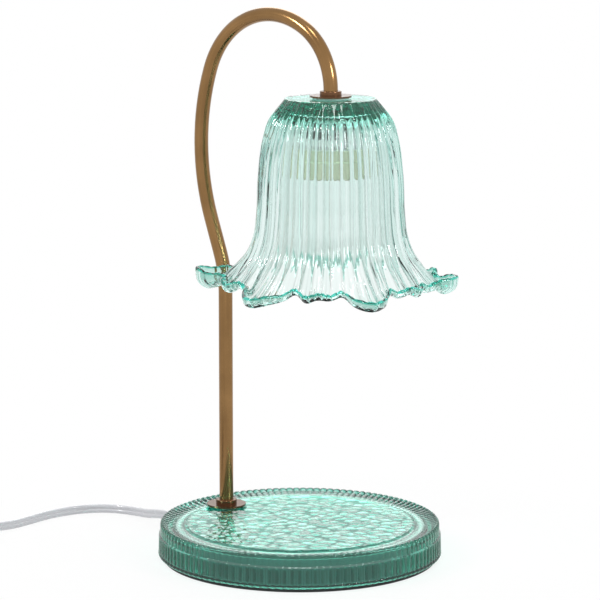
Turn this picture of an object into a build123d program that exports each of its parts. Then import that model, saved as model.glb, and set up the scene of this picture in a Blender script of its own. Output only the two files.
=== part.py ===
"""Candle warmer: a fluted glass bell shade with a lampholder hangs from a bent brass tube
over a ribbed glass base. Millimetres, +Z up, origin under the middle of the base."""
import math
import os

from build123d import *

os.makedirs("parts", exist_ok=True)

# Shared fits
overrun = 1.0
hole_clearance = 0.3
thread_clearance = 0.05
running_clearance = 0.05
soft_clearance = 0.2

# Base glass
base_radius = 80.0
tier_setback = 1.0
tier_draft = 0.5
rib_count = 120
rib_depth = 0.7
lower_tier_height = 11.2
step_height = 0.8
plate_height = 17.8
rim_width = 16.0
plate_thickness = 6.0
crest_rise = 1.1
crest_setback = 1.2
lip_drop = 1.5
crest_width = 1.5
crest_fall = 0.5
crest_rib_depth = 0.5
groove_width = 3.5
groove_depth = 2.2
wall_thickness = 8.0
pad_thickness = 2.2
pad_setback = 3.0

# Arm tube
pole_inset = 7.0
tube_radius = 4.0
tube_bore_radius = 3.0
pole_height = 124.5
foot_bend_radius = 68.0
foot_bend_angle = 20.0
lean_run = 20.0
back_bend_radius = 125.0
back_bend_angle = 40.0
top_bend_radius = 50.0
top_bend_angle = 98.0
end_bend_radius = 38.0

# Fixings on the tube
collar_wall = 2.0
collar_height = 2.5
collar_edge = 0.5
nut_wall = 2.2
base_washer_radius = 11.25
base_washer_thickness = 1.0
base_gasket_radius = 9.5
base_gasket_thickness = 0.5
inner_washer_radius = 8.5
inner_washer_thickness = 1.2
inner_gasket_thickness = 0.8
base_nut_height = 4.5
thread_tail = 0.8
flange_radius = 11.5
flange_thickness = 0.9
upper_gasket_radius = 10.0
upper_gasket_thickness = 0.8
lower_gasket_radius = 9.5
lower_gasket_thickness = 1.0
shade_washer_radius = 9.0
shade_washer_thickness = 1.2
shade_nut_height = 5.5
bracket_nut_height = 4.0

# Shade glass; shares are of the bell's radius and height, and of the petals' reach
shade_height = 106.0
shade_top_radius = 24.8
shade_top_thickness = 8.0
bell_radius = 41.0
shade_wall = 3.0
flute_count = 56
flute_depth = 0.7
petal_count = 6
petal_angle = -28.0
petal_reach = 11.7
ripple_count = 28
ripple_angle = -48.5
ripple_height = 0.9
ceiling_radius = 27.0
mean_reach_share = 0.479
large_petal_share = 0.275
small_petal_share = 0.246
bell_shares = [
    (0.717, 0.051),
    (0.830, 0.110),
    (0.905, 0.200),
    (0.975, 0.400),
    (1.000, 0.600),
    (1.040, 0.715),
    (1.130, 0.800),
    (1.290, 0.875),
    (1.475, 0.927),
]
lip_shares = [(0.48, -0.30), (0.86, -0.20), (1.0, 0.30)]
flute_shares = [0, 0.6, 1, 1, 1, 1, 1, 1, 1, 0.8, 0.6, 0.5, 0.4]
ripple_shares = [0, 0, 0, 0, 0, 0, 0, 0.2, 0.6, 1, 1, 1, 1]
rim_share = 0.5
inner_start = 3

# Lampholder
bracket_thickness = 1.0
bracket_width = 10.0
bracket_height = 11.6
bracket_clearance = 0.8
foot_length = 4.2
holder_height = 16.0
holder_neck_height = 6.0
holder_step = 1.2
pin_spacing = 10.0
pin_hole_radius = 2.8
pin_slot_radius = 1.8
pin_turn_angle = 32.0
pin_hole_depth = 9.0
contact_thickness = 0.8
contact_height = 5.0
contact_place_share = 0.7
contact_width_share = 0.6
holder_screw_radius = 1.2
holder_screw_head_radius = 1.9
holder_screw_head_height = 1.3
holder_screw_length = 5.0

# Wiring
arm_lead_radius = 0.75
arm_lead_spacing = 1.8
arm_lead_bend = 2.5
supply_lead_radius = 1.0
supply_lead_spacing = 2.8
supply_lead_spread = 12.0
supply_lead_run = 4.5
supply_lead_shift = 6.5
supply_lead_bend = 6.0
connector_length = 14.0
connector_width = 18.0
connector_height = 5.0
connector_gap = 13.0
connector_fillet = 0.8

# Cord and its gland; the lead's shares are of the way to the dimmer in x and y, and of its end's rise
cord_radius = 2.75
exit_level = 6.2
gland_radius = 4.4
gland_flange_radius = 5.6
gland_flange_thickness = 1.6
gland_reach = 1.0
sleeve_length = 19.0
sleeve_end_radius = 3.6
corner_run_share = 0.45
lead_shares = [
    (0.148, 0.000, 1.000),
    (0.338, -0.018, 0.246),
    (0.559, -0.036, 0.000),
    (0.772, 0.006, 0.000),
    (0.928, 0.107, 0.000),
    (1.008, 0.243, 0.000),
    (1.023, 0.383, 0.000),
    (1.002, 0.519, 0.000),
    (0.991, 0.650, 0.000),
    (0.994, 0.772, 0.382),
    (1.000, 0.888, 1.000),
]

# In-line dimmer
dimmer_x = -166.5
dimmer_front_y = -103.0
dimmer_length = 62.0
dimmer_width = 30.0
dimmer_height = 18.0
dimmer_base_height = 9.0
dimmer_wall = 2.0
dimmer_floor = 2.0
dimmer_corner = 8.0
dimmer_edge = 2.5
dimmer_cord_level = 5.5
board_length = 40.0
board_width = 22.0
board_thickness = 1.6
board_rise = 1.2
board_post_radius = 2.0
board_post_spacing = 32.0
potentiometer_size = 9.6
potentiometer_height = 4.0
spindle_radius = 2.0
spindle_end_gap = 0.5
wheel_radius = 13.0
wheel_thickness = 6.0
wheel_offset = 5.0
wheel_gap = 0.4
wheel_notch_count = 30
wheel_notch_radius = 0.8
boss_radius = 2.6
boss_inset = 6.0
dimmer_screw_radius = 1.3
dimmer_screw_head_radius = 2.4
dimmer_screw_head_height = 1.2
dimmer_screw_length = 10.0
dimmer_screw_recess = 0.3

# Put-away cord and plug
coil_mid_radius = 30.0
coil_turns_per_layer = 2.875
coil_gap = 0.6
tie_thickness = 0.9
tie_width = 4.0
tie_angle = 45.0
tie_clearance = 0.3
plug_length = 30.0
plug_width = 22.0
plug_height = 16.0
plug_neck_radius = 4.6
plug_neck_length = 9.0
plug_edge = 3.0
blade_length = 17.5
blade_width = 6.3
blade_thickness = 1.5
blade_spacing = 12.7
tail_run = 30.0
link_run = 28.0
end_run = 9.0
coil_step = 0.001

# Levels and radii of the base
plate_level = pad_thickness + plate_height
step_level = pad_thickness + lower_tier_height
crest_level = plate_level + crest_rise
groove_level = plate_level - groove_depth
ceiling_level = plate_level - plate_thickness
plate_radius = base_radius - rim_width
pole_offset = plate_radius - pole_inset
upper_radius = base_radius - tier_setback
crest_radius = upper_radius - crest_setback
crest_inner_radius = crest_radius - crest_width
slope_foot_radius = plate_radius + groove_width
cavity_radius = base_radius - wall_thickness
bore_radius = tube_radius + hole_clearance
thread_radius = tube_radius + thread_clearance
collar_radius = tube_radius + collar_wall
nut_apothem = tube_radius + nut_wall
nut_corner_radius = nut_apothem / math.cos(math.pi / 6)


def polar_point(radius, angle, level, centre_x=0.0):
    """Point at a radius and an angle in degrees round the upright axis at centre_x."""
    turn = math.radians(angle)
    return (centre_x + radius * math.cos(turn), radius * math.sin(turn), level)


def scalloped_ring(points):
    """Closed wire of arcs; every second point is the top of its arc."""
    count = len(points)
    arcs = [
        Edge.make_three_point_arc(points[i], points[i + 1], points[(i + 2) % count])
        for i in range(0, count, 2)
    ]
    return Wire(arcs)


def rib_ring(radius, level, side_depth, top_depth):
    """Ring of the base's ribs: valleys lie deeper than crests by the two depths."""
    points = []
    for i in range(2 * rib_count):
        depth_share = 1 - i % 2
        angle = 360 * i / (2 * rib_count)
        points.append(
            polar_point(radius - depth_share * side_depth, angle, level - depth_share * top_depth)
        )
    return scalloped_ring(points)


def washer(level, outer_radius, inner_radius, thickness):
    """Flat ring that stands on the given plane."""
    with BuildSketch(level) as ring:
        Circle(outer_radius)
        Circle(inner_radius, mode=Mode.SUBTRACT)
    extrude(ring.sketch, amount=thickness)


def hex_nut(level, height):
    """Hexagon nut for the tube's thread, standing on the given plane."""
    with BuildSketch(level) as outline:
        RegularPolygon(nut_corner_radius, 6)
        Circle(thread_radius, mode=Mode.SUBTRACT)
    extrude(outline.sketch, amount=height)


def route_radii(points):
    """Corner radii of a cord's route, as large as each corner's two runs allow."""
    radii = []
    for before, corner, after in zip(points, points[1:], points[2:]):
        run_in = Vector(*corner) - Vector(*before)
        run_out = Vector(*after) - Vector(*corner)
        half_turn = math.radians(run_in.get_angle(run_out) / 2)
        shorter = min(run_in.length, run_out.length)
        radii.append(corner_run_share * shorter / math.tan(half_turn))
    return radii


def round_tube(points, corner_radii, radius):
    """Round tube along straight runs joined by tangent arcs; returns the length of its route."""
    with BuildLine() as route:
        FilletPolyline(*points, radius=corner_radii)
    start = Plane(origin=points[0], z_dir=Vector(*points[1]) - Vector(*points[0]))
    with BuildSketch(start) as section:
        Circle(radius)
    sweep(section.sketch, path=route.wires()[0])
    return route.wires()[0].length


def report_tube(name, part, length, radii):
    """Prints a cord's corner radii, and its volume beside its section times its length."""
    expected = math.pi * cord_radius**2 * length
    print(name, "radii", [round(r, 1) for r in radii], "length", round(length, 1))
    print(name, "volume", round(part.volume, 1), "section times length", round(expected, 1))


# Base: the ribbed outside is lofted from the foot over the crest to the groove
with BuildPart() as base_glass:
    rib_rings = [
        rib_ring(base_radius, pad_thickness, rib_depth, 0),
        rib_ring(base_radius - tier_draft, step_level, rib_depth, 0),
        rib_ring(upper_radius, step_level + step_height, rib_depth, 0),
        rib_ring(upper_radius, crest_level - lip_drop, rib_depth, 0),
        rib_ring(crest_radius, crest_level, 0, crest_rib_depth),
        rib_ring(crest_inner_radius, crest_level - crest_fall, 0, crest_rib_depth),
        rib_ring(slope_foot_radius, groove_level, 0, 0),
    ]
    add(Solid.make_loft(rib_rings, ruled=True))
    with BuildSketch(Plane.XY.offset(groove_level)):
        Circle(plate_radius)
    extrude(amount=groove_depth)
    with BuildSketch(Plane.XY.offset(pad_thickness)):
        Circle(cavity_radius)
    extrude(amount=ceiling_level - pad_thickness, mode=Mode.SUBTRACT)
    with BuildSketch(Plane.XY.offset(ceiling_level)):
        with Locations((-pole_offset, 0)):
            Circle(bore_radius)
    extrude(amount=plate_thickness + overrun, mode=Mode.SUBTRACT)
    notch_radius = gland_radius + soft_clearance
    with BuildSketch(Plane.YZ.offset(-cavity_radius + overrun)):
        with Locations((0, exit_level)):
            Circle(notch_radius)
        with Locations((0, pad_thickness)):
            Rectangle(2 * notch_radius, exit_level - pad_thickness, align=(Align.CENTER, Align.MIN))
    extrude(amount=-wall_thickness - 2 * overrun, mode=Mode.SUBTRACT)
base_glass.part.label = "base_glass"
export_step(base_glass.part, "parts/base_glass.step")

with BuildPart() as foot_pad:
    with BuildSketch():
        Circle(base_radius - pad_setback)
    extrude(amount=pad_thickness)
foot_pad.part.label = "foot_pad"
export_step(foot_pad.part, "parts/foot_pad.step")

# Fixings at the pole's foot, above and below the plate
pole = Plane((-pole_offset, 0, 0))
base_washer_level = plate_level + base_gasket_thickness
base_collar_level = base_washer_level + base_washer_thickness
inner_washer_level = ceiling_level - inner_gasket_thickness - inner_washer_thickness
base_nut_level = inner_washer_level - base_nut_height
tube_foot_level = base_nut_level - thread_tail

with BuildPart() as base_gasket:
    washer(pole.offset(plate_level), base_gasket_radius, bore_radius, base_gasket_thickness)
base_gasket.part.label = "base_gasket"
export_step(base_gasket.part, "parts/base_gasket.step")

with BuildPart() as base_washer:
    washer(pole.offset(base_washer_level), base_washer_radius, bore_radius, base_washer_thickness)
base_washer.part.label = "base_washer"
export_step(base_washer.part, "parts/base_washer.step")

with BuildPart() as base_collar:
    washer(pole.offset(base_collar_level), collar_radius, thread_radius, collar_height)
    top_circles = base_collar.edges().filter_by(GeomType.CIRCLE).group_by(Axis.Z)[-1]
    fillet(top_circles.sort_by(SortBy.RADIUS)[-1], collar_edge)
base_collar.part.label = "base_collar"
export_step(base_collar.part, "parts/base_collar.step")

with BuildPart() as base_inner_gasket:
    gasket_level = ceiling_level - inner_gasket_thickness
    washer(pole.offset(gasket_level), inner_washer_radius, bore_radius, inner_gasket_thickness)
base_inner_gasket.part.label = "base_inner_gasket"
export_step(base_inner_gasket.part, "parts/base_inner_gasket.step")

with BuildPart() as base_inner_washer:
    washer(pole.offset(inner_washer_level), inner_washer_radius, bore_radius, inner_washer_thickness)
base_inner_washer.part.label = "base_inner_washer"
export_step(base_inner_washer.part, "parts/base_inner_washer.step")

with BuildPart() as base_nut:
    hex_nut(pole.offset(base_nut_level), base_nut_height)
base_nut.part.label = "base_nut"
export_step(base_nut.part, "parts/base_nut.step")

# Arm: an upright pole that leans back, arches over and comes straight down into the shade
pole_top = plate_level + pole_height
end_bend_angle = 180 + foot_bend_angle - back_bend_angle - top_bend_angle
shade_seat = collar_height + flange_thickness + upper_gasket_thickness
stack_height = lower_gasket_thickness + shade_washer_thickness + shade_nut_height
drop_length = (
    shade_seat + shade_top_thickness + stack_height + bracket_thickness + bracket_nut_height + thread_tail
)
lead_drop = shade_seat + shade_top_thickness + stack_height + bracket_height


def arm_bends(drop):
    """Bends of the arm from the top of its pole, with a straight drop at the end."""
    foot = JernArc((-pole_offset, pole_top), (0, 1), foot_bend_radius, foot_bend_angle)
    lean = Line(foot @ 1, foot @ 1 + lean_run * (foot % 1))
    back = JernArc(lean @ 1, lean % 1, back_bend_radius, -back_bend_angle)
    top = JernArc(back @ 1, back % 1, top_bend_radius, -top_bend_angle)
    end = JernArc(top @ 1, top % 1, end_bend_radius, -end_bend_angle)
    Line(end @ 1, end @ 1 + drop * (end % 1))


with BuildPart() as arm_tube:
    with BuildLine(Plane.XZ) as arm_path:
        Line((-pole_offset, tube_foot_level), (-pole_offset, pole_top))
        arm_bends(drop_length)
    with BuildSketch(pole.offset(tube_foot_level)):
        Circle(tube_radius)
        Circle(tube_bore_radius, mode=Mode.SUBTRACT)
    sweep(path=arm_path.wires()[0])
arm_tube.part.label = "arm_tube"
export_step(arm_tube.part, "parts/arm_tube.step")

# Levels of the shade and what hangs in it, downwards from the arm's end
tube_end = arm_path.wires()[0] @ 1
shade_x = tube_end.X
shade_axis = Plane((shade_x, 0, 0))
shade_top_level = tube_end.Z + drop_length - shade_seat
flange_level = shade_top_level + upper_gasket_thickness
shade_collar_level = flange_level + flange_thickness
shade_ceiling_level = shade_top_level - shade_top_thickness
lower_gasket_level = shade_ceiling_level - lower_gasket_thickness
shade_washer_level = lower_gasket_level - shade_washer_thickness
shade_nut_level = shade_washer_level - shade_nut_height
bracket_plate_level = shade_nut_level - bracket_thickness
bracket_nut_level = bracket_plate_level - bracket_nut_height
holder_top_level = shade_nut_level - bracket_height
holder_bottom_level = holder_top_level - holder_height

# Wiring inside the base and the arm
connector_x = -pole_offset + connector_gap
lead_level = pad_thickness + connector_height / 2

with BuildPart() as arm_leads:
    with BuildLine(Plane.XZ) as lead_path:
        bend_start = (-pole_offset + arm_lead_bend, lead_level)
        Line((connector_x, lead_level), bend_start)
        lead_bend = JernArc(bend_start, (-1, 0), arm_lead_bend, -90)
        Line(lead_bend @ 1, (-pole_offset, pole_top))
        arm_bends(lead_drop)
    with BuildSketch(Plane.YZ.offset(connector_x)):
        with Locations((-arm_lead_spacing / 2, lead_level), (arm_lead_spacing / 2, lead_level)):
            Circle(arm_lead_radius)
    sweep(path=lead_path.wires()[0])
arm_leads.part.label = "arm_leads"
export_step(arm_leads.part, "parts/arm_leads.step")

with BuildPart() as wire_connector:
    with BuildSketch(Plane.XY.offset(pad_thickness)):
        with Locations((connector_x, 0)):
            Rectangle(connector_length, connector_width, align=(Align.MIN, Align.CENTER))
    extrude(amount=connector_height)
    fillet(wire_connector.edges().filter_by(Axis.Z), connector_fillet)
wire_connector.part.label = "wire_connector"
export_step(wire_connector.part, "parts/wire_connector.step")

gland_inner_x = -cavity_radius + gland_reach
with BuildPart() as supply_leads:
    spread_x = gland_inner_x + supply_lead_run
    for side in (-1, 1):
        near_y = side * supply_lead_spacing / 2
        far_y = side * supply_lead_spread / 2
        core_points = [
            (gland_inner_x, near_y, exit_level),
            (spread_x, near_y, exit_level),
            (spread_x + supply_lead_shift, far_y, lead_level),
            (connector_x, far_y, lead_level),
        ]
        round_tube(core_points, supply_lead_bend, supply_lead_radius)
supply_leads.part.label = "supply_leads"
export_step(supply_leads.part, "parts/supply_leads.step")

# Gland: a bush in the wall's notch, a flange outside it and a tapered sleeve
flange_x = -base_radius - soft_clearance
sleeve_x = flange_x - gland_flange_thickness
sleeve_tip_x = sleeve_x - sleeve_length
with BuildPart() as cord_gland:
    with BuildSketch(Plane.YZ.offset(gland_inner_x)):
        with Locations((0, exit_level)):
            Circle(gland_radius)
        with Locations((0, pad_thickness)):
            Rectangle(2 * gland_radius, exit_level - pad_thickness, align=(Align.CENTER, Align.MIN))
        with Locations((0, pad_thickness)):
            Rectangle(
                2 * gland_radius, gland_radius, align=(Align.CENTER, Align.MAX), mode=Mode.SUBTRACT
            )
    extrude(amount=flange_x - gland_inner_x)
    with BuildSketch(Plane.YZ.offset(flange_x)):
        with Locations((0, exit_level)):
            Circle(gland_flange_radius)
    extrude(amount=-gland_flange_thickness)
    with BuildSketch(Plane.YZ.offset(sleeve_x)):
        with Locations((0, exit_level)):
            Circle(gland_radius)
    with BuildSketch(Plane.YZ.offset(sleeve_tip_x)):
        with Locations((0, exit_level)):
            Circle(sleeve_end_radius)
    loft()
cord_gland.part.label = "cord_gland"
export_step(cord_gland.part, "parts/cord_gland.step")


# Shade: outside, rim and inside are lofted as one skin through scalloped rings
def bell_section(angle):
    """Points and outward normals of the shade's outer profile at one angle."""
    turn = math.radians(petal_count * (angle - petal_angle))
    petal_share = large_petal_share * math.cos(turn) + small_petal_share * math.cos(2 * turn)
    reach = petal_reach * (mean_reach_share + petal_share)
    ripple = ripple_height * math.cos(math.radians(ripple_count * (angle - ripple_angle)))
    profile = [(shade_top_radius, shade_top_level)]
    profile += [(bell_radius * r, shade_top_level - shade_height * d) for r, d in bell_shares]
    foot_radius, foot_level = profile[-1]
    profile += [(foot_radius + reach * r, foot_level + reach * z) for r, z in lip_shares]
    profile = [(r, z - share * ripple) for (r, z), share in zip(profile, ripple_shares)]
    normals = []
    for i in range(len(profile)):
        before = profile[max(i - 1, 0)]
        after = profile[min(i + 1, len(profile) - 1)]
        run = math.hypot(after[0] - before[0], after[1] - before[1])
        normals.append(((before[1] - after[1]) / run, (after[0] - before[0]) / run))
    return profile, normals


def bell_ring(index, depths, end_share=0.0):
    """Ring of the shade's skin, set in from the outer profile by one depth in valleys and one on ridges."""
    points = []
    for k, angle in enumerate(flute_angles):
        profile, normals = bell_sections[k]
        radius, level = profile[index]
        out, up = normals[index]
        depth = depths[k % 2]
        reach = end_share * shade_wall
        radius += up * reach - out * depth
        level -= out * reach + up * depth
        points.append(polar_point(radius, angle, level, shade_x))
    return scalloped_ring(points)


flute_angles = [ripple_angle + 180 * (k - 1) / flute_count for k in range(2 * flute_count)]
bell_sections = [bell_section(angle) for angle in flute_angles]
rim_index = len(flute_shares) - 1
with BuildPart() as shade_glass:
    skin = [bell_ring(i, (flute_depth * share, 0)) for i, share in enumerate(flute_shares)]
    skin.append(bell_ring(rim_index, (shade_wall / 2, shade_wall / 2), rim_share))
    skin += [bell_ring(i, (shade_wall, shade_wall)) for i in range(rim_index, inner_start - 1, -1)]
    skin.append(
        scalloped_ring([polar_point(ceiling_radius, a, shade_ceiling_level, shade_x) for a in flute_angles])
    )
    add(Solid.make_loft(skin, ruled=True))
    with BuildSketch(shade_axis.offset(shade_ceiling_level)):
        Circle(bore_radius)
    extrude(amount=shade_top_thickness + overrun, mode=Mode.SUBTRACT)
shade_glass.part.label = "shade_glass"
export_step(shade_glass.part, "parts/shade_glass.step")

# Fixings above and below the shade's top
with BuildPart() as shade_upper_gasket:
    washer(shade_axis.offset(shade_top_level), upper_gasket_radius, bore_radius, upper_gasket_thickness)
shade_upper_gasket.part.label = "shade_upper_gasket"
export_step(shade_upper_gasket.part, "parts/shade_upper_gasket.step")

with BuildPart() as shade_flange:
    washer(shade_axis.offset(flange_level), flange_radius, bore_radius, flange_thickness)
shade_flange.part.label = "shade_flange"
export_step(shade_flange.part, "parts/shade_flange.step")

with BuildPart() as shade_collar:
    washer(shade_axis.offset(shade_collar_level), collar_radius, thread_radius, collar_height)
    top_circles = shade_collar.edges().filter_by(GeomType.CIRCLE).group_by(Axis.Z)[-1]
    fillet(top_circles.sort_by(SortBy.RADIUS)[-1], collar_edge)
shade_collar.part.label = "shade_collar"
export_step(shade_collar.part, "parts/shade_collar.step")

with BuildPart() as shade_lower_gasket:
    washer(shade_axis.offset(lower_gasket_level), lower_gasket_radius, bore_radius, lower_gasket_thickness)
shade_lower_gasket.part.label = "shade_lower_gasket"
export_step(shade_lower_gasket.part, "parts/shade_lower_gasket.step")

with BuildPart() as shade_washer:
    washer(shade_axis.offset(shade_washer_level), shade_washer_radius, bore_radius, shade_washer_thickness)
shade_washer.part.label = "shade_washer"
export_step(shade_washer.part, "parts/shade_washer.step")

with BuildPart() as shade_nut:
    hex_nut(shade_axis.offset(shade_nut_level), shade_nut_height)
shade_nut.part.label = "shade_nut"
export_step(shade_nut.part, "parts/shade_nut.step")

with BuildPart() as bracket_nut:
    hex_nut(shade_axis.offset(bracket_nut_level), bracket_nut_height)
bracket_nut.part.label = "bracket_nut"
export_step(bracket_nut.part, "parts/bracket_nut.step")

# Lampholder and the strap that carries it
leg_inner = nut_corner_radius + bracket_clearance
leg_outer = leg_inner + bracket_thickness
foot_end = leg_outer + foot_length
screw_offset = leg_outer + foot_length / 2
neck_radius = foot_end + bracket_clearance
holder_radius = neck_radius + holder_step

with BuildPart() as holder_bracket:
    with BuildSketch(Plane.XZ):
        with Locations((shade_x, bracket_plate_level)):
            Rectangle(2 * leg_outer, bracket_thickness, align=(Align.CENTER, Align.MIN))
        for side, near in ((-1, Align.MAX), (1, Align.MIN)):
            with Locations((shade_x + side * leg_inner, holder_top_level)):
                Rectangle(bracket_thickness, bracket_height, align=(near, Align.MIN))
                Rectangle(bracket_thickness + foot_length, bracket_thickness, align=(near, Align.MIN))
    extrude(amount=bracket_width / 2, both=True)
    with BuildSketch(shade_axis.offset(bracket_plate_level)):
        Circle(bore_radius)
    extrude(amount=bracket_thickness, mode=Mode.SUBTRACT)
    with BuildSketch(shade_axis.offset(holder_top_level)):
        with Locations((-screw_offset, 0), (screw_offset, 0)):
            Circle(holder_screw_radius + soft_clearance)
    extrude(amount=bracket_thickness, mode=Mode.SUBTRACT)
holder_bracket.part.label = "holder_bracket"
export_step(holder_bracket.part, "parts/holder_bracket.step")

with BuildPart() as lampholder:
    with BuildSketch(shade_axis.offset(holder_bottom_level)):
        Circle(holder_radius)
    extrude(amount=holder_height - holder_neck_height)
    skirt_edges = lampholder.edges().filter_by(GeomType.CIRCLE)
    chamfer(skirt_edges, holder_step / 2)
    with BuildSketch(shade_axis.offset(holder_top_level)):
        Circle(neck_radius)
    extrude(amount=-holder_neck_height)
    with BuildSketch(shade_axis.offset(holder_bottom_level)):
        for start in (90, 270):
            with PolarLocations(pin_spacing / 2, 1, start_angle=start):
                Circle(pin_hole_radius)
            SlotArc(CenterArc((0, 0), pin_spacing / 2, start, pin_turn_angle), 2 * pin_slot_radius)
    extrude(amount=pin_hole_depth, mode=Mode.SUBTRACT)
    with BuildSketch(shade_axis.offset(holder_top_level)):
        with Locations((-screw_offset, 0), (screw_offset, 0)):
            Circle(holder_screw_radius + thread_clearance)
    extrude(amount=-holder_screw_length, mode=Mode.SUBTRACT)
lampholder.part.label = "lampholder"
export_step(lampholder.part, "parts/lampholder.step")

with BuildPart() as holder_contacts:
    leaf_offset = pin_spacing / 2 + contact_place_share * pin_hole_radius
    with BuildSketch(shade_axis.offset(holder_bottom_level + pin_hole_depth)):
        for side, near in ((-1, Align.MIN), (1, Align.MAX)):
            with Locations((0, side * leaf_offset)):
                Rectangle(
                    2 * contact_width_share * pin_hole_radius, contact_thickness, align=(Align.CENTER, near)
                )
    extrude(amount=-contact_height)
holder_contacts.part.label = "holder_contacts"
export_step(holder_contacts.part, "parts/holder_contacts.step")

with BuildPart() as holder_screws:
    screw_places = [(-screw_offset, 0), (screw_offset, 0)]
    with BuildSketch(shade_axis.offset(holder_top_level + bracket_thickness)):
        with Locations(*screw_places):
            Circle(holder_screw_radius)
    extrude(amount=-holder_screw_length)
    with BuildSketch(shade_axis.offset(holder_top_level + bracket_thickness)):
        with Locations(*screw_places):
            Circle(holder_screw_head_radius)
    extrude(amount=holder_screw_head_height)
holder_screws.part.label = "holder_screws"
export_step(holder_screws.part, "parts/holder_screws.step")

# Cord from the gland along the floor to the dimmer
with BuildPart() as cord_lead:
    lead_route = [(sleeve_tip_x, 0, exit_level)]
    for x_share, y_share, rise_share in lead_shares:
        end_level = exit_level if y_share < 0.5 else dimmer_cord_level
        lead_x = sleeve_tip_x + x_share * (dimmer_x - sleeve_tip_x)
        lead_rise = rise_share * (end_level - cord_radius)
        lead_route.append((lead_x, y_share * dimmer_front_y, cord_radius + lead_rise))
    lead_route.append((dimmer_x, dimmer_front_y, dimmer_cord_level))
    lead_radii = route_radii(lead_route)
    lead_length = round_tube(lead_route, lead_radii, cord_radius)
report_tube("cord_lead", cord_lead.part, lead_length, lead_radii)
cord_lead.part.label = "cord_lead"
export_step(cord_lead.part, "parts/cord_lead.step")

# Dimmer: a tray with the board, a cover, and a thumbwheel that shows at one side
dimmer_back_y = dimmer_front_y - dimmer_length
dimmer_plane = Plane((dimmer_x, (dimmer_front_y + dimmer_back_y) / 2, 0))
inner_width = dimmer_width - 2 * dimmer_wall
inner_length = dimmer_length - 2 * dimmer_wall
inner_corner = dimmer_corner - dimmer_wall
dimmer_ceiling = dimmer_height - dimmer_wall
board_level = dimmer_floor + board_rise
board_top = board_level + board_thickness
wheel_level = dimmer_ceiling - wheel_gap - wheel_thickness
slot_depth = dimmer_width / 2 - dimmer_wall - wheel_offset
slot_length = 2 * math.sqrt((wheel_radius + wheel_gap) ** 2 - slot_depth**2)
boss_y = dimmer_length / 2 - boss_inset
boss_places = [(0, -boss_y), (0, boss_y)]
head_level = dimmer_screw_recess + dimmer_screw_head_height

with BuildPart() as dimmer_base:
    with BuildSketch(dimmer_plane):
        RectangleRounded(dimmer_width, dimmer_length, dimmer_corner)
    extrude(amount=dimmer_base_height)
    with BuildSketch(dimmer_plane.offset(dimmer_floor)):
        RectangleRounded(inner_width, inner_length, inner_corner)
    extrude(amount=dimmer_base_height - dimmer_floor, mode=Mode.SUBTRACT)
    with BuildSketch(dimmer_plane.offset(dimmer_floor)):
        with Locations(*boss_places):
            Circle(boss_radius)
    extrude(amount=dimmer_base_height - dimmer_floor)
    with BuildSketch(dimmer_plane.offset(dimmer_floor)):
        with Locations((0, -board_post_spacing / 2), (0, board_post_spacing / 2)):
            Circle(board_post_radius)
    extrude(amount=board_rise)
    with BuildSketch(dimmer_plane):
        with Locations(*boss_places):
            Circle(dimmer_screw_radius + soft_clearance)
    extrude(amount=dimmer_base_height, mode=Mode.SUBTRACT)
    with BuildSketch(dimmer_plane):
        with Locations(*boss_places):
            Circle(dimmer_screw_head_radius + soft_clearance)
    extrude(amount=head_level, mode=Mode.SUBTRACT)
dimmer_base.part.label = "dimmer_base"
export_step(dimmer_base.part, "parts/dimmer_base.step")

with BuildPart() as dimmer_cover:
    with BuildSketch(dimmer_plane.offset(dimmer_base_height)):
        RectangleRounded(dimmer_width, dimmer_length, dimmer_corner)
    extrude(amount=dimmer_height - dimmer_base_height)
    fillet(dimmer_cover.faces().sort_by(Axis.Z)[-1].edges(), dimmer_edge)
    with BuildSketch(dimmer_plane.offset(dimmer_base_height)):
        RectangleRounded(inner_width, inner_length, inner_corner)
    extrude(amount=dimmer_ceiling - dimmer_base_height, mode=Mode.SUBTRACT)
    with BuildSketch(dimmer_plane.offset(dimmer_base_height)):
        with Locations(*boss_places):
            Circle(boss_radius)
    extrude(amount=dimmer_ceiling - dimmer_base_height)
    with BuildSketch(dimmer_plane.offset(wheel_level - wheel_gap)):
        with Locations((-dimmer_width / 2 + dimmer_wall + overrun, 0)):
            Rectangle(dimmer_wall + 2 * overrun, slot_length, align=(Align.MAX, Align.CENTER))
    extrude(amount=wheel_thickness + 2 * wheel_gap, mode=Mode.SUBTRACT)
    with BuildSketch(dimmer_plane.offset(dimmer_base_height)):
        with Locations(*boss_places):
            Circle(dimmer_screw_radius + thread_clearance)
    screw_reach = head_level + dimmer_screw_length - dimmer_base_height
    extrude(amount=screw_reach + soft_clearance, mode=Mode.SUBTRACT)
dimmer_cover.part.label = "dimmer_cover"
export_step(dimmer_cover.part, "parts/dimmer_cover.step")

with BuildPart() as dimmer_board:
    with BuildSketch(dimmer_plane.offset(board_level)):
        Rectangle(board_width, board_length)
    extrude(amount=board_thickness)
dimmer_board.part.label = "dimmer_board"
export_step(dimmer_board.part, "parts/dimmer_board.step")

with BuildPart() as dimmer_potentiometer:
    with BuildSketch(dimmer_plane.offset(board_top)):
        with Locations((-wheel_offset, 0)):
            Rectangle(potentiometer_size, potentiometer_size)
    extrude(amount=potentiometer_height)
    with BuildSketch(dimmer_plane.offset(board_top + potentiometer_height)):
        with Locations((-wheel_offset, 0)):
            Circle(spindle_radius + running_clearance)
    extrude(amount=-potentiometer_height + spindle_end_gap, mode=Mode.SUBTRACT)
dimmer_potentiometer.part.label = "dimmer_potentiometer"
export_step(dimmer_potentiometer.part, "parts/dimmer_potentiometer.step")

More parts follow.
